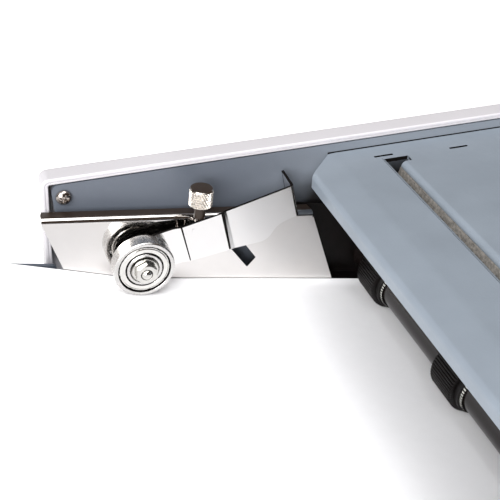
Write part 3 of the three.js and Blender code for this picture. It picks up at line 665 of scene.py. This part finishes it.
# ------------------------------------------------------------------ controls
def controls():
    """Power rocker, start button and power inlet."""
    half, x, y = 8.5, 2, -240
    top = [(half - 17 * k / 24, 0.55 + 2.0 * ((12 - k) / 12) ** 2 * (1.0 if k < 12 else 1.02) +
            (-0.95 if k < 12 else 0.0) * ((12 - k) / 12) ** 2) for k in range(25)]
    outline = [Vector(p) for p in [(-half + 1, -5), (half - 1, -5), *top]]
    ridges = [box(-6.6 + 1.3 * k, -6.0 + 1.3 * k, -4, 4, 0.9, 4) for k in range(4)]
    rocker = cut(prism(outline, -5.5, 5.5), *ridges)
    bmesh.ops.translate(rocker, verts=rocker.verts, vec=(x, y, 29.5))
    place("rocker_key", rocker, LEVEL, M_BLACK, "rocker", "black_plastic", ("power_rocker",), edge=0.25)

    cap = [(0, 24), (6.4, 24), (6.4, 25.4), (5, 25.4), (5, 32.4), (4.3, 33.3), (3.4, 33.35), (2.6, 33.0),
           (0, 32.8)]
    button = turned(soft(cap, 0.4, 4), 64, "Z", (26, y, 0))
    place("start_key", button, LEVEL, M_BLACK, "button", "black_plastic", ("start_button",))

    body = prism(rectangle(-253.5, -226.5, -79.5, -58.5, 1.2), 219, 232.2, "X")
    well = prism(rounded([(-250.4, -76.4, 1), (-229.6, -76.4, 1), (-229.6, -65.5, 1), (-233.6, -61.6, 1),
                          (-246.4, -61.6, 1), (-250.4, -65.5, 1)]), 221, 240, "X")
    place("inlet_body", cut(body, well), LEVEL, M_BLACK, "chassis", "black_plastic", ("power_inlet",),
          edge=0.3)
    for k, (dy, dz) in enumerate(((-6, -71), (0, -68), (6, -71))):
        pin = prism(rectangle(-240 + dy - 0.8, -240 + dy + 0.8, dz, dz + 4, 0.2), 220.5, 227.5, "X")
        place(f"inlet_pin_{k + 1}", pin, LEVEL, M_FASTENER, "chassis", "turned_steel", edge=0.25)


# ------------------------------------------------------------------ table, support and sheet
def feed_table():
    """Sloping table with its roller windows and kerb, and the bent support in front of it."""
    under = TABLE_TOP - SHEET_METAL
    deck = prism(rectangle(-62, 203, NEAR_FACE + 0.5, FAR_FACE - 0.4, 1.5), under, TABLE_TOP, "Z")
    windows = [prism(rectangle(s - 8.5, s + 8.5, -207, 7, 2), under - 2, TABLE_TOP + 2, "Z")
               for s in (ROLLER_S, TRANSPORT_S)]
    slot = prism(rectangle(17.6, 22.4, -214, -150, 2.3), under - 2, TABLE_TOP + 2, "Z")
    deck = cut(deck, *windows, slot)
    kerb = prism(rounded([(-62, under + 0.2), (-27, under + 0.2), (-27, TABLE_TOP + 2.3, 1.2),
                          (-62, TABLE_TOP + 2.3, 1.2)]), FAR_FACE - 0.4 - SHEET_METAL, FAR_FACE - 0.4)
    place("table_sheet", join(deck, kerb), BED, M_TABLE, "chassis", "blue_grey", ("feed_table",), edge=0.3)

    tongue = under - FIT - SHEET_METAL
    pitch = math.radians(BED_PITCH)
    ends = [(s * math.cos(pitch) + tongue * math.sin(pitch), tongue * math.cos(pitch) - s * math.sin(pitch))
            for s in (-44, -66)]
    support = sheet([ends[0], (*ends[1], 4), (-186, 55.6)], -SHEET_METAL, -205, 15, steps=10)
    trim = prism(rounded([(-190, -205), (-30, -205), (-30, 15), (-190, 15)]), -40, 80, "Z")
    corners = []
    for y, inward in ((-205, 1), (15, -1)):
        block = box(-190, -174, *sorted((y - 4 * inward, y + 12 * inward)), 30, 80)
        corners.append(cut(block, post(12, 20, 90, -174, y + 12 * inward)))
    place("support_sheet", cut(common(support, trim), *corners), LEVEL, M_TABLE, "chassis", "blue_grey",
          ("paper_support",), edge=0.3)


def loaded_sheet():
    """The A4 sheet: it lies on the table, wraps under the wheel and rises along the support."""
    radius, thickness = -PAPER_TOP, 0.2
    turn = math.radians(TAIL_PITCH - BED_PITCH)
    tail = PAPER_LENGTH - PAPER_LEAD - radius * turn
    stations = []
    for k in range(31):
        stations.append((Vector((PAPER_LEAD * (1 - k / 30), -radius)), Vector((0, 1))))
    for k in range(1, 7):
        a = turn * k / 6
        stations.append((Vector((-math.sin(a), -math.cos(a))) * radius, Vector((math.sin(a), math.cos(a)))))
    start, normal = stations[-1]
    away = Vector((-math.cos(turn), math.sin(turn)))
    for k in range(1, 49):
        sag = 0.5 * math.sin(math.pi * k / 48) ** 2
        stations.append((start + away * tail * k / 48 - normal * sag, normal))
    across = [PAPER_FAR - 0.75 * j for j in range(7)] + [5 - (PAPER_WIDTH - 5) * j / 36 for j in range(37)]
    bm = bmesh.new()
    layers = []
    for drop in (0, thickness):
        rows = []
        for p, n in stations:
            curl = 0.9 if p.x > -40 else 0.9 * max(0, 1 + (p.x + 40) / 60)
            spots = [(p + n * (curl * (max(0, y - 5.5) / 4.5) ** 2 - drop), y) for y in across]
            rows.append([bm.verts.new((spot.x, y, spot.y)) for spot, y in spots])
        layers.append(rows)
    rows, columns = len(stations), len(across)
    for layer in layers:
        for i in range(rows - 1):
            for j in range(columns - 1):
                bm.faces.new((layer[i][j], layer[i + 1][j], layer[i + 1][j + 1], layer[i][j + 1]))
    rim = ([(i, 0) for i in range(rows)] + [(rows - 1, j) for j in range(1, columns)]
           + [(i, columns - 1) for i in range(rows - 2, -1, -1)]
           + [(0, j) for j in range(columns - 2, 0, -1)])
    for (i, j), (m, n) in zip(rim, rim[1:] + rim[:1]):
        bm.faces.new((layers[0][i][j], layers[0][m][n], layers[1][m][n], layers[1][i][j]))
    item = place("paper_sheet", bm, BED, M_PAPER, "chassis", "paper", ("loaded_sheet",))


def nip_liner():
    """Black liner that closes the far end of the opening under the cover."""
    path = [(17.3, 20), (17.3, TABLE_TOP + FIT, 0.8), (12, TABLE_TOP + FIT)]
    liner = cut(sheet(path, -0.3, 60, 106, "X", 6), rod(4.6, 15, 19, ROLLER_S, 0.1))
    place("nip_liner", liner, BED, M_RUBBER, "chassis", "black_plastic")


def end_panels():
    """Front apron and the rear panel with its exit window and vents."""
    y0, y1 = NEAR_FACE + 0.5, FAR_FACE - 0.5
    foot = CASE_BOTTOM + FIT
    apron = prism(rectangle(y0, y1, foot, -11, 1), -19.5, -18, "X")
    place("apron_sheet", apron, LEVEL, M_PANEL, "chassis", "blue_grey", ("front_apron",), edge=0.3)
    window = prism(rectangle(-206, 8, -66, -46, 2), 205, 214, "X")
    vents = [prism(rectangle(-170 + 20 * k, -158 + 20 * k, -88, -85, 1.4), 205, 214, "X") for k in range(8)]
    rear = cut(prism(rectangle(y0, y1, foot, 2.5, 1), 209, 210.5, "X"), window, *vents)
    place("rear_sheet", rear, LEVEL, M_PANEL, "chassis", "blue_grey", ("rear_panel",), edge=0.3)


# ------------------------------------------------------------------ far side guide
def guide_plate():
    """Polished side guide with a folded top flange, a slanted opening and a ledge for the screw."""
    path = [(GUIDE_FACE, -20), (GUIDE_FACE, GUIDE_TOP, GUIDE_BEND), (GUIDE_BACK, GUIDE_TOP)]
    angle = sheet(path, -POLISHED, -36, 84, "X", 12)
    drop = math.radians(BED_PITCH - GUIDE_PITCH)

    def foot(x):
        return -(-TABLE_TOP - FIT + x * math.sin(drop)) / math.cos(drop)

    side = rounded([(-35, GUIDE_TOP + 1), (-35, 13.8, 1), (-24.2, foot(-24.2)), (81.4, foot(81.4)),
                    (66.4, 13.6, 1), (66.4, GUIDE_TOP + 1)])
    plan = rounded([(-34.9, 9), (66.3, 9), (66.1, 11), (65.1, 18), (-33.6, 18), (-35, 13.4)])
    slot = rounded([(43.2, -8.2, 0.4), (46.1, -4, 0.4), (38.4, 4.9, 0.4), (33.9, 2.1, 0.4)], 5)
    upper = common(prism(plan, -1, 30, "Z"), box(-40, 90, 0, 30, 11, 20))
    keep = join(box(-40, 90, 0, 12, -30, 13), upper)
    pivot = Vector(shaft_line("arm_lift"))
    turn = math.radians(GUIDE_PITCH)
    bore_x = pivot.x * math.cos(turn) - pivot.y * math.sin(turn)
    bore_z = pivot.x * math.sin(turn) + pivot.y * math.cos(turn)
    bm = common(angle, prism(side, 0, 30), keep)
    bm = cut(bm, prism(slot, 8, 14), rod(2, 8, 14, bore_x, bore_z))
    bm = join(bm, box(17.5, 23.5, 6.9, GUIDE_FACE + 0.4, 2.4, 3.9))
    # The flange's top takes the dark brown steel: a painted dark reflection on the polished sheet.
    place("guide_sheet", bm, GUIDE, M_MIRROR, "chassis", "mirror_steel", ("guide_plate",), edge=0.14,
          accent=(M_PAINTED_DARK_REFLECTION, lambda n, c: n.z > 0.97 and c.z > GUIDE_TOP - 0.1))


def near_guide():
    """Sliding side guide and the knob that clamps it."""
    edge = PAPER_FAR - PAPER_WIDTH - FIT
    foot = TABLE_TOP + FIT
    stem = edge - 5.2
    wall = prism(rounded([(-30, 10, 3), (-30, foot), (72, foot), (72, 10, 3)], 8), edge - POLISHED, edge)
    ledge = prism(rectangle(-2, 42, edge - 9.2, edge - 0.5, 1.2), foot, foot + POLISHED, "Z")
    bm = cut(join(wall, ledge), post(2.4, foot - 1, foot + 3, 20, stem))
    place("near_guide_sheet", bm, BED, M_MIRROR, "near_guide", "mirror_steel", ("near_guide",), edge=0.14)

    def lobes(radius, height, angle):
        return radius - 0.35 * max(0, math.cos(12 * angle)) if radius > 3.4 else radius

    collar = foot + POLISHED + FIT
    profile = soft([(0, foot - 5), (2, foot - 5), (2, collar), (3.6, collar), (3.6, foot + 9),
                    (3, foot + 9.6), (0, foot + 9.4)], 0.35, 4)
    knob = turned(profile, 144, "Z", (20, stem, 0), lobes)
    place("clamp_grip", knob, BED, M_BLACK, "clamp_knob", "black_plastic", ("guide_clamp_knob",))
    dress("guide_clamp_nut", M_FASTENER)


# ------------------------------------------------------------------ hold-down arm and wheel
def arm_outline():
    """Side view of the arm: a disc behind the wheel that runs into a strip with an S-shaped foot."""
    points = [Vector(p) for p in ((17, 7.9), (61.8, 9.8), (61.8, -3.4))]
    for bend in (((61.8, -3.4), (54.5, -3.5), (51.6, -4), (49.3, -6.6)),
                 ((49.3, -6.6), (47.6, -8.5), (46, -9.4), (43.5, -9.2))):
        a, b, c, d = (Vector(p) for p in bend)
        for t in (k / 12 for k in range(1, 13)):
            points.append(a * (1 - t) ** 3 + b * 3 * t * (1 - t) ** 2 + c * 3 * t * t * (1 - t) + d * t ** 3)
    points += [Vector((31.9, -7.7)), Vector((17, -7.2))]
    first, last = -1, -1.5 * math.pi
    for k in range(49):
        angle = first + (last - first) * k / 48
        points.append(Vector((math.cos(angle), math.sin(angle))) * 8.1)
    return points


def hold_down_arm():
    """The bent arm with its lug and tab, its pivot clip, and the axle with washer and nut."""
    path = [(-8.6, 6.4), (13.9, 6.4, 0.6), (17.1, 5.5, 1.4), (32.1, 4.6, 1.4), (34, 5.1, 1.2),
            (60.2, 5.0, 1.3), (60.6, 16.6)]
    strip = common(sheet(path, ARM_THICK, -14, 10, "Z", 8), prism(arm_outline(), 0, 20))
    folds = ((17.0, 17.1, (0.34, 0.16), 5.85), (32.6, 32.0, (0.7, 0.3), 5.05),
             (59.35, 59.5, (0.22, 0.18), 5.35))
    creases = [box(58, 60.05, 15.5, 16.1, -14, 11)]
    for upper, lower, (wide, narrow), depth in folds:
        creases.append(prism([Vector(p) for p in ((upper - wide, 11), (upper + wide, 11),
                                                  (lower + narrow, -11), (lower - narrow, -11))], 3, depth))
    strip = cut(strip, box(56, 66, 7.4, 20, -14, 0.8), *creases)
    lean = SCREW_PITCH - ARM_PITCH
    lug = rotated(box(KNOB_X - 3.2, KNOB_X + 3.2, 5.2, 9.9, 10.2, 11.7), lean)
    bore = rotated(post(STUD_R + FIT, 5, 15, KNOB_X, KNOB_Y), lean)
    bm = join(strip, lug, rod(1.7, 5.4, 14.6, *ARM_PIVOT))
    bm = cut(bm, bore, rod(2.3, 4, 9))

    def in_shadow(normal, centre):
        """Painted shade: the cut top edge, and the floors and walls of the bend lines and of the tab's edge
        line, take near-black.
        """
        fold = any(abs(centre.x - (upper + lower) / 2) < 0.9 and 4.2 < centre.y < depth + 0.02
                   and (centre.y > depth - 0.02 or abs(normal.x) > 0.95)
                   for upper, lower, _, depth in folds)
        return fold or (normal.z > 0.7 and centre.z > 5) or (15.4 < centre.y < 16.2 and centre.x < 60.1)

    place("arm_strip", bm, ARM, M_ARM, "hold_down_arm", "mirror_steel", ("hold_down_arm",), edge=0.05,
          accent=(M_PAINTED_SHADE, in_shadow))

    collar = turned(soft([(2, 12.1), (3.4, 12.1), (3.4, 14), (2, 14)], 0.25), 64, "Y",
                    (ARM_PIVOT[0], 0, ARM_PIVOT[1]))
    place("pivot_clip", collar, ARM, M_FASTENER, "hold_down_arm", "turned_steel", ("pivot_collar",))

    axle = [(0, -4.35), (0.7, -4.28), (1.3, -4.0), (1.75, -3.6), *reversed(thread(1.95, -3.5, -3.1)),
            (1.95, -3.0), (1.95, 0.2), (4.8, 0.2), (4.8, 6.1), (1.95, 6.1), (1.95, 8.6), (0, 8.6)]
    place("axle_pin", turned(axle, 64), ARM, M_FASTENER, "hold_down_arm", "turned_steel", ("wheel_axle",))
    washer = turned(soft([(2.2, -0.7), (4.7, -0.7), (4.7, -0.1), (2.2, -0.1)], 0.15), 72)
    place("axle_shim", washer, ARM, M_FASTENER, "hold_down_arm", "turned_steel", ("axle_washer",))

    flats = [Vector((4.04 * math.cos(math.radians(60 * k + 12)), 4.04 * math.sin(math.radians(60 * k + 12))))
             for k in range(6)]
    cone = turned([(2.15, -3.2), (3.45, -3.2), (4.3, -2.75), (4.3, -1.4), (3.6, -1.0), (2.15, -1.0)], 72)
    nut = common(prism(flats, -3.2, -1.0), cone)
    place("hex_nut", nut, ARM, M_FASTENER, "hold_down_arm", "turned_steel", ("axle_nut",), edge=0.08)


def wheel():
    """Ball bearing: outer ring, inner ring, two shields, and the balls in their cage."""
    outer = soft([(9.4, 0.75), (9.4, 0.2), (9.58, 0.02), (10.6, 0), (11, 0.4), (11, 5.6), (10.6, 6),
                  (9.58, 5.98), (9.4, 5.8), (9.4, 5.25), (9.1, 4.9), (9.1, 1.1)], 0.1, 4)

    def reach(centre):
        return math.hypot(centre.x, centre.z)

    # Painted shade: the rim's and the hub's faces in the gap between them take near-black.
    place("wheel_rim", turned(outer, 160), ARM, M_RING, "hold_down_wheel", "bearing_steel",
          ("bearing_outer_ring",), accent=(M_PAINTED_SHADE, lambda n, c: reach(c) < 9.5 and abs(n.y) < 0.9))
    inner = soft([(5, 0.4), (5.35, 0.02), (6.2, 0.0), (6.4, 0.25), (6.4, 5.75), (6.2, 6), (5.35, 5.98),
                  (5, 5.6)], 0.1, 3)
    place("wheel_hub", turned(inner, 120), ARM, M_RING, "hold_down_arm", "bearing_steel",
          ("bearing_inner_ring",), accent=(M_PAINTED_SHADE, lambda n, c: reach(c) > 6.3 and abs(n.y) < 0.9))

    def crimps(radius, height, angle):
        """The shield's rolled edge is nicked where it is pressed into the ring."""
        return radius - 0.3 * max(0, math.cos(8 * angle + 0.6)) ** 24 if radius > 8.8 else radius

    for end, face, sign in (("front", 0.42, 1), ("back", 5.58, -1)):
        profile = [(6.78, 0), (6.95, -0.14), (8.3, -0.14), (8.6, 0.06), (8.75, 0.06), (8.92, 0.02),
                   (8.92, 0.5), (8.6, 0.42), (6.78, 0.42)]
        shield = [(r, face + sign * h) for r, h in soft(profile, 0.08, 3)]
        # Painted shade: the shield's faces in the gaps at its edges take near-black.
        place(f"wheel_shield_{end}", turned(shield, 192, reshape=crimps), ARM, M_SHIELD, "hold_down_wheel",
              "shield_steel", (f"bearing_shield_{end}",),
              accent=(M_PAINTED_SHADE, lambda n, c: abs(n.y) < 0.8 and not 6.9 < reach(c) < 8.8))

    cage = turned(soft([(7.4, 2.5), (8.4, 2.5), (8.4, 3.5), (7.4, 3.5)], 0.2), 72)
    for k in range(9):
        angle = 2 * math.pi * k / 9
        spot = Vector((7.9 * math.cos(angle), 3, 7.9 * math.sin(angle)))
        bmesh.ops.create_uvsphere(cage, u_segments=20, v_segments=12, radius=1.3,
                                  matrix=Matrix.Translation(spot))
    place("wheel_balls", cage, ARM, M_RING, "ball_cage", "shield_steel", ("bearing_ball_cage",))


def thumb_screw():
    """Stud and knurled head."""
    top = KNOB_Z + KNOB_H
    stud = [(0, 2.95), (1.0, 2.95), (1.3, 3.3), *thread(STUD_R, 3.5, 14.4), (1.35, 14.5), (1.35, KNOB_Z + 5),
            (0, KNOB_Z + 5)]
    place("screw_stud", turned(stud, 48, "Z", (KNOB_X, KNOB_Y, 0)), SCREW, M_SCREW, "screw_stud",
          "turned_steel", ("thumb_screw_stud",))

    low, high, starts, depth = KNOB_Z + 0.5, top - 0.6, 24, 0.42

    def knurl(radius, height, angle):
        """Diamond knurl: two crossed sets of helical grooves."""
        if not (low <= height <= high and radius > KNOB_R - 0.2):
            return radius
        twist = (height - low) / (2 * math.pi * KNOB_R) * starts * 0.62
        ramps = [abs((starts * angle / (2 * math.pi) + s * twist) % 1 - 0.5) * 2 for s in (1, -1)]
        return radius - depth * (1 - min(1, min(1 - r for r in ramps) * 2.4))

    grip = [(KNOB_R, low + (high - low) * k / 56) for k in range(57)]
    foot = KNOB_Z - KNOB_NECK
    profile = [(1.75, foot), (1.95, foot), (2.1, foot + 0.2), (2.1, KNOB_Z - 0.25), (2.3, KNOB_Z),
               (3.6, KNOB_Z), (4.0, KNOB_Z + 0.25), *grip, (KNOB_R - 0.05, top - 0.4),
               (KNOB_R - 0.4, top), (0, top), (0, KNOB_Z + 5.3), (1.75, KNOB_Z + 5.3)]
    knob = turned(profile, 300, "Z", (KNOB_X, KNOB_Y, 0), knurl)
    # The flat top takes the dark brown steel as a painted dark reflection, and the neck below the head takes
    # it as painted shade.
    place("knurled_head", knob, SCREW, M_KNURL, "screw_knob", "knurled_steel", ("thumb_screw_knob",),
          smooth=28,
          accent=(M_PAINTED_DARK_REFLECTION, lambda n, c: n.z > 0.95 and c.z > top - 0.1 or c.z < KNOB_Z - 0.3))


# ------------------------------------------------------------------ rollers and drive
def roller_outline(radius):
    """Fluted tread: rounded ribs with narrow grooves between them."""
    points = []
    for k in range(ROLLER_FLUTES):
        for share, drop in ((-0.32, 0.16), (-0.2, 0.02), (0, 0), (0.2, 0.02), (0.32, 0.16), (0.42, 0.55),
                            (0.5, 0.6), (0.58, 0.55)):
            angle = 2 * math.pi * (k + share) / ROLLER_FLUTES
            points.append(Vector((math.cos(angle), math.sin(angle))) * (radius - drop))
    return points


def feed_rollers():
    """Fluted treads on the feed shaft, each with a toothed collar on its near side."""
    x, z = FEED
    bore = ROLLER_SHAFT + FIT
    count = len(roller_outline(ROLLER_OUTER))
    hole = [Vector((math.cos(a), math.sin(a))) * bore
            for a in [2 * math.pi * (k / 8 - 0.32) / ROLLER_FLUTES for k in range(count)]]
    half = ROLLER_WIDTH / 2
    for k in range(ROLLER_COUNT):
        y = ROLLER_FIRST - k * ROLLER_PITCH
        rings = [(hole, -half), (roller_outline(ROLLER_OUTER - 0.4), -half),
                 (roller_outline(ROLLER_OUTER), -half + 0.4), (roller_outline(ROLLER_OUTER), half - 0.4),
                 (roller_outline(ROLLER_OUTER - 0.4), half), (hole, half)]
        tread = loft(rings, closed=True)
        bmesh.ops.translate(tread, verts=tread.verts, vec=(x, y, z))
        place(f"roller_tread_{k + 1}", tread, LEVEL, M_RUBBER, "feed_shaft", "rubber",
              (f"feed_roller_{k + 1}",), smooth=50)
        edge = y - half - FIT
        rim, nose, teeth = ROLLER_SHAFT + 1.5, ROLLER_SHAFT + 0.75, 48
        ring = turned(soft([(bore, edge - 3.4), (nose, edge - 3.4), (nose, edge - 2.2), (rim, edge - 2.2),
                            (rim, edge), (bore, edge)], 0.1), 96, "Y", (x, 0, z))
        gaps = [rotated(box(x + 7, x + 10, edge - 4, edge - 2.3, z - 0.3, z + 0.3), 360 * t / teeth,
                        (x, 0, z)) for t in range(teeth)]

        # Painted highlight: the teeth take light nylon on the dark collar, standing in for the highlight
        # that catches along them.
        def teeth_painted_highlight(normal, centre):
            return centre.y < edge - 2.35 and math.hypot(centre.x - x, centre.z - z) > nose - 0.2

        place(f"collar_ring_{k + 1}", cut(ring, *gaps), LEVEL, M_COLLAR, "feed_shaft", "nylon",
              (f"roller_collar_{k + 1}",), edge=0.05, accent=(M_NYLON, teeth_painted_highlight))


def shafts():
    """The feed shaft and the three plain rollers, each with two thinner journals."""
    def stepped(name, line, radius, near_body, far_body, near, material, body, slot, node):
        j, far = ROLLER_JOURNAL, FAR_FACE + 4
        profile = soft([(0, near), (j, near), (j, near_body), (radius, near_body), (radius, far_body),
                        (j, far_body), (j, far), (0, far)], 0.5, 4)
        place(name, turned(profile, 96, "Y", (line[0], 0, line[1])), LEVEL, material, body, slot, (node,))

    stepped("feed_axle", FEED, ROLLER_SHAFT, -212, 15, -231, M_SHAFT, "feed_shaft", "shaft_steel",
            "feed_shaft")
    lower = "transport_pressure_roller"
    for name, line, near, body in (("pressure_roller", PRESSURE, -221, "pressure_roller"),
                                   ("transport_roller", TRANSPORT, -231, "transport_shaft"),
                                   (lower, TRANSPORT_LOWER, -221, lower)):
        stepped(f"{name}_tyre", line, ROLLER_OUTER, -204, 4, near, M_RUBBER, body, "rubber", name)


def drive():
    """Hidden CAD pieces that are shown as they are."""
    for node, material in (("feed_gear", M_BLACK), ("transport_gear", M_BLACK), ("idler_gear", M_NYLON),
                           ("motor_pinion", M_FASTENER), ("gear_motor", M_ZINC), ("motor_bracket", M_ZINC),
                           ("bearing_plate_far", M_NYLON), ("bearing_plate_near", M_NYLON),
                           ("hinge_pin_far", M_FASTENER), ("hinge_pin_near", M_FASTENER),
                           ("guide_spacer_front", M_ZINC), ("guide_spacer_rear", M_ZINC)):
        dress(node, material)


# ------------------------------------------------------------------ hinged cover
def cover():
    """Hinged cover: skin with chamfered corners, slot with hem and flap, and four slits."""
    skin = sheet([(COVER_FRONT, COVER_TOP - COVER_LIP), (COVER_FRONT, COVER_TOP - 1.5, 2.2),
                  (COVER_FRONT + 12.6, COVER_TOP, 24), (COVER_BACK, COVER_TOP, 3), (COVER_BACK, 6)],
                 -SHEET_METAL, COVER_NEAR, COVER_FAR, steps=12)
    middle = (COVER_FAR + COVER_NEAR) / 2
    opening = box(SLOT_FROM - 2.4, SLOT_TO + 4, SLOT_NEAR, SLOT_FAR, COVER_TOP - 6, COVER_TOP + 3)
    ends = []
    for y, side in ((COVER_FAR, 1), (COVER_NEAR, -1)):
        corner = [(COVER_FRONT - 2, y + side * 2), (COVER_FRONT - 2, y - side * COVER_CHAMFER),
                  (COVER_FRONT, y - side * COVER_CHAMFER), (COVER_FRONT + COVER_CHAMFER, y),
                  (COVER_FRONT + COVER_CHAMFER, y + side * 2)]
        ends.append(prism([Vector(p) for p in corner], COVER_TOP - 12, COVER_TOP + 3, "Z"))
    under, crease_depth = COVER_TOP - SHEET_METAL, 0.3
    starts = [(x, line) for x, y in ((91, 10.6), (121.4, 8.4)) for line in (y, 2 * middle - y)]
    slits, backs = [], []
    for x, y in starts:
        outline = rectangle(x, x + 7.8, y - 0.55, y + 0.55, 0.4)
        slits.append(prism(outline, COVER_TOP - 3, COVER_TOP + 3, "Z"))
        backs.append(box(x - 1, x + 8.8, y - 1.6, y + 1.6, under - 0.5, under - 0.1))
    crease = box(SLOT_FROM - 1.75, SLOT_FROM - 1.5, SLOT_NEAR - 1, SLOT_FAR + 1,
                 COVER_TOP - crease_depth, COVER_TOP + 3)
    hem = sheet([(SLOT_FROM - 2.9, COVER_TOP), (SLOT_FROM, COVER_TOP + 0.02, 1.8),
                 (SLOT_FROM, COVER_TOP - 4)], -SHEET_METAL, SLOT_NEAR, SLOT_FAR, steps=8)
    flap = sheet([(SLOT_TO - 1.2, COVER_TOP - FLAP), (SLOT_TO, COVER_TOP, 2.2), (SLOT_TO + 4.1, COVER_TOP)],
                 -SHEET_METAL, SLOT_NEAR + 3.5, SLOT_FAR - 3.5, steps=10)
    ears = [cut(box(HINGE[0] - 5, HINGE[0] + 5, y0, y1, HINGE[1] - 5, COVER_TOP - 1),
                rod(2.8, y0 - 1, y1 + 1, *HINGE))
            for y0, y1 in ((COVER_FAR - 4, COVER_FAR - 2.5), (COVER_NEAR + 2.5, COVER_NEAR + 4))]
    bm = cut(join(cut(skin, opening, *ends), hem, flap, *ears), crease, *slits)

    def in_shadow(normal, centre):
        """Painted shade: the floor of the crease, the walls of the slits and the end walls of the slot take
        near-black.
        """
        floor = normal.z > 0.9 and abs(centre.z - COVER_TOP + crease_depth) < 0.05 and 90 < centre.x < 95
        wall = abs(normal.z) < 0.2 and centre.z > under
        end = any(-0.2 < (centre.y - y) * side < 1 for y, side in ((SLOT_FAR, 1), (SLOT_NEAR, -1)))
        slit = any(-0.1 < centre.x - x < 7.9 and abs(centre.y - y) < 0.6 for x, y in starts)
        return floor or wall and (slit or end and 90.9 < centre.x < 98.9)

    place("cover_sheet", bm, LEVEL, M_COVER, "cover", "cover_grey", ("top_cover",), edge=0.18,
          accent=(M_PAINTED_SHADE, in_shadow))
    # Near-black pads under the slits: painted shade seen through them.
    place("slit_painted_shade_backing", join(*backs), LEVEL, M_PAINTED_SHADE, "cover", "black_plastic")
    lining = sheet([(SLOT_TO - 1.2, COVER_TOP - 4.6), (SLOT_TO - 0.5, COVER_TOP - 2.0)],
                   0.25, SLOT_NEAR + 4, SLOT_FAR - 4)
    place("slot_lining", lining, LEVEL, M_LINING, "cover", "cover_grey")


def cover_edge_shade():
    """Near-black strip on the far panel along the cover's edge: painted shade where the cover meets the
    panel.
    """
    strip = box(COVER_FRONT + COVER_CHAMFER, COVER_BACK - 4, FAR_FACE - 0.3, FAR_FACE - 0.03,
                COVER_TOP - 0.8, COVER_TOP + 0.25)
    place("cover_edge_painted_shade", strip, LEVEL, M_PAINTED_SHADE, "chassis", "black_plastic")


# ------------------------------------------------------------------ studio and camera
VIEW_AZIMUTH, VIEW_ELEVATION, VIEW_ROLL = 19.61, -34.36, 1.19
EYE = (-53.43, -259.36, 188.72)


def camera():
    """The view that the piece was set up in."""
    data = bpy.data.cameras.new("camera")
    data.sensor_width = 36
    data.lens = 66.25
    data.clip_start, data.clip_end = 0.01, 60
    item = bpy.data.objects.new("camera", data)
    az, el, roll = (math.radians(v) for v in (VIEW_AZIMUTH, VIEW_ELEVATION, VIEW_ROLL))
    forward = Vector((math.sin(az) * math.cos(el), math.cos(az) * math.cos(el), math.sin(el)))
    level = Vector((math.cos(az), -math.sin(az), 0))
    upright = level.cross(forward)
    right = level * math.cos(roll) + upright * math.sin(roll)
    up = upright * math.cos(roll) - level * math.sin(roll)
    turn = Matrix((right, up, -forward)).transposed().to_4x4()
    item.matrix_world = Matrix.Translation(DATUM + Vector(EYE) * MM) @ turn
    bpy.context.scene.collection.objects.link(item)
    bpy.context.scene.camera = item


def softbox(name, at, target, size, power, color=(1, 1, 1)):
    """Rectangular area light aimed at a point."""
    data = bpy.data.lights.new(name, "AREA")
    data.shape = "RECTANGLE"
    data.size, data.size_y = size
    data.energy = power
    data.color = color
    item = bpy.data.objects.new(name, data)
    item.location = at
    item.rotation_euler = (Vector(target) - Vector(at)).to_track_quat("-Z", "Y").to_euler()
    bpy.context.scene.collection.objects.link(item)


def studio():
    """White surroundings for the camera, dim warm ones for reflections, a pale floor and three softboxes."""
    scene = bpy.context.scene
    scene.view_settings.view_transform = "Standard"
    world = bpy.data.worlds.new("studio")
    scene.world = world
    world.use_nodes = True
    tree = world.node_tree
    background = tree.nodes["Background"]
    path = tree.nodes.new("ShaderNodeLightPath")
    mix = tree.nodes.new("ShaderNodeMix")
    mix.data_type = "RGBA"
    mix.inputs[6].default_value = (0.07, 0.052, 0.042, 1)
    mix.inputs[7].default_value = (1, 1, 1, 1)
    tree.links.new(path.outputs["Is Camera Ray"], mix.inputs[0])
    tree.links.new(mix.outputs[2], background.inputs["Color"])

    bm = bmesh.new()
    bmesh.ops.create_grid(bm, x_segments=8, y_segments=8, size=4)
    mesh = bpy.data.meshes.new("studio_floor")
    bm.to_mesh(mesh)
    bm.free()
    mesh.materials.append(M_FLOOR)
    floor = bpy.data.objects.new("studio_floor", mesh)
    scene.collection.objects.link(floor)
    softbox("key", (-0.75, -0.65, 1.0), (0, 0, 0.1), (1.1, 1.3), 25)
    softbox("top", (0.25, -0.2, 1.4), (0, 0, 0.1), (1.1, 0.9), 12)
    softbox("front", (-0.9, -1.2, 0.5), (0, 0, 0.1), (1.2, 0.6), 17)


camera()
studio()
casings()
side_panels()
base_and_feet()
controls()
feed_table()
loaded_sheet()
nip_liner()
end_panels()
guide_plate()
near_guide()
hold_down_arm()
wheel()
thumb_screw()
feed_rollers()
shafts()
drive()
cover()
cover_edge_shade()
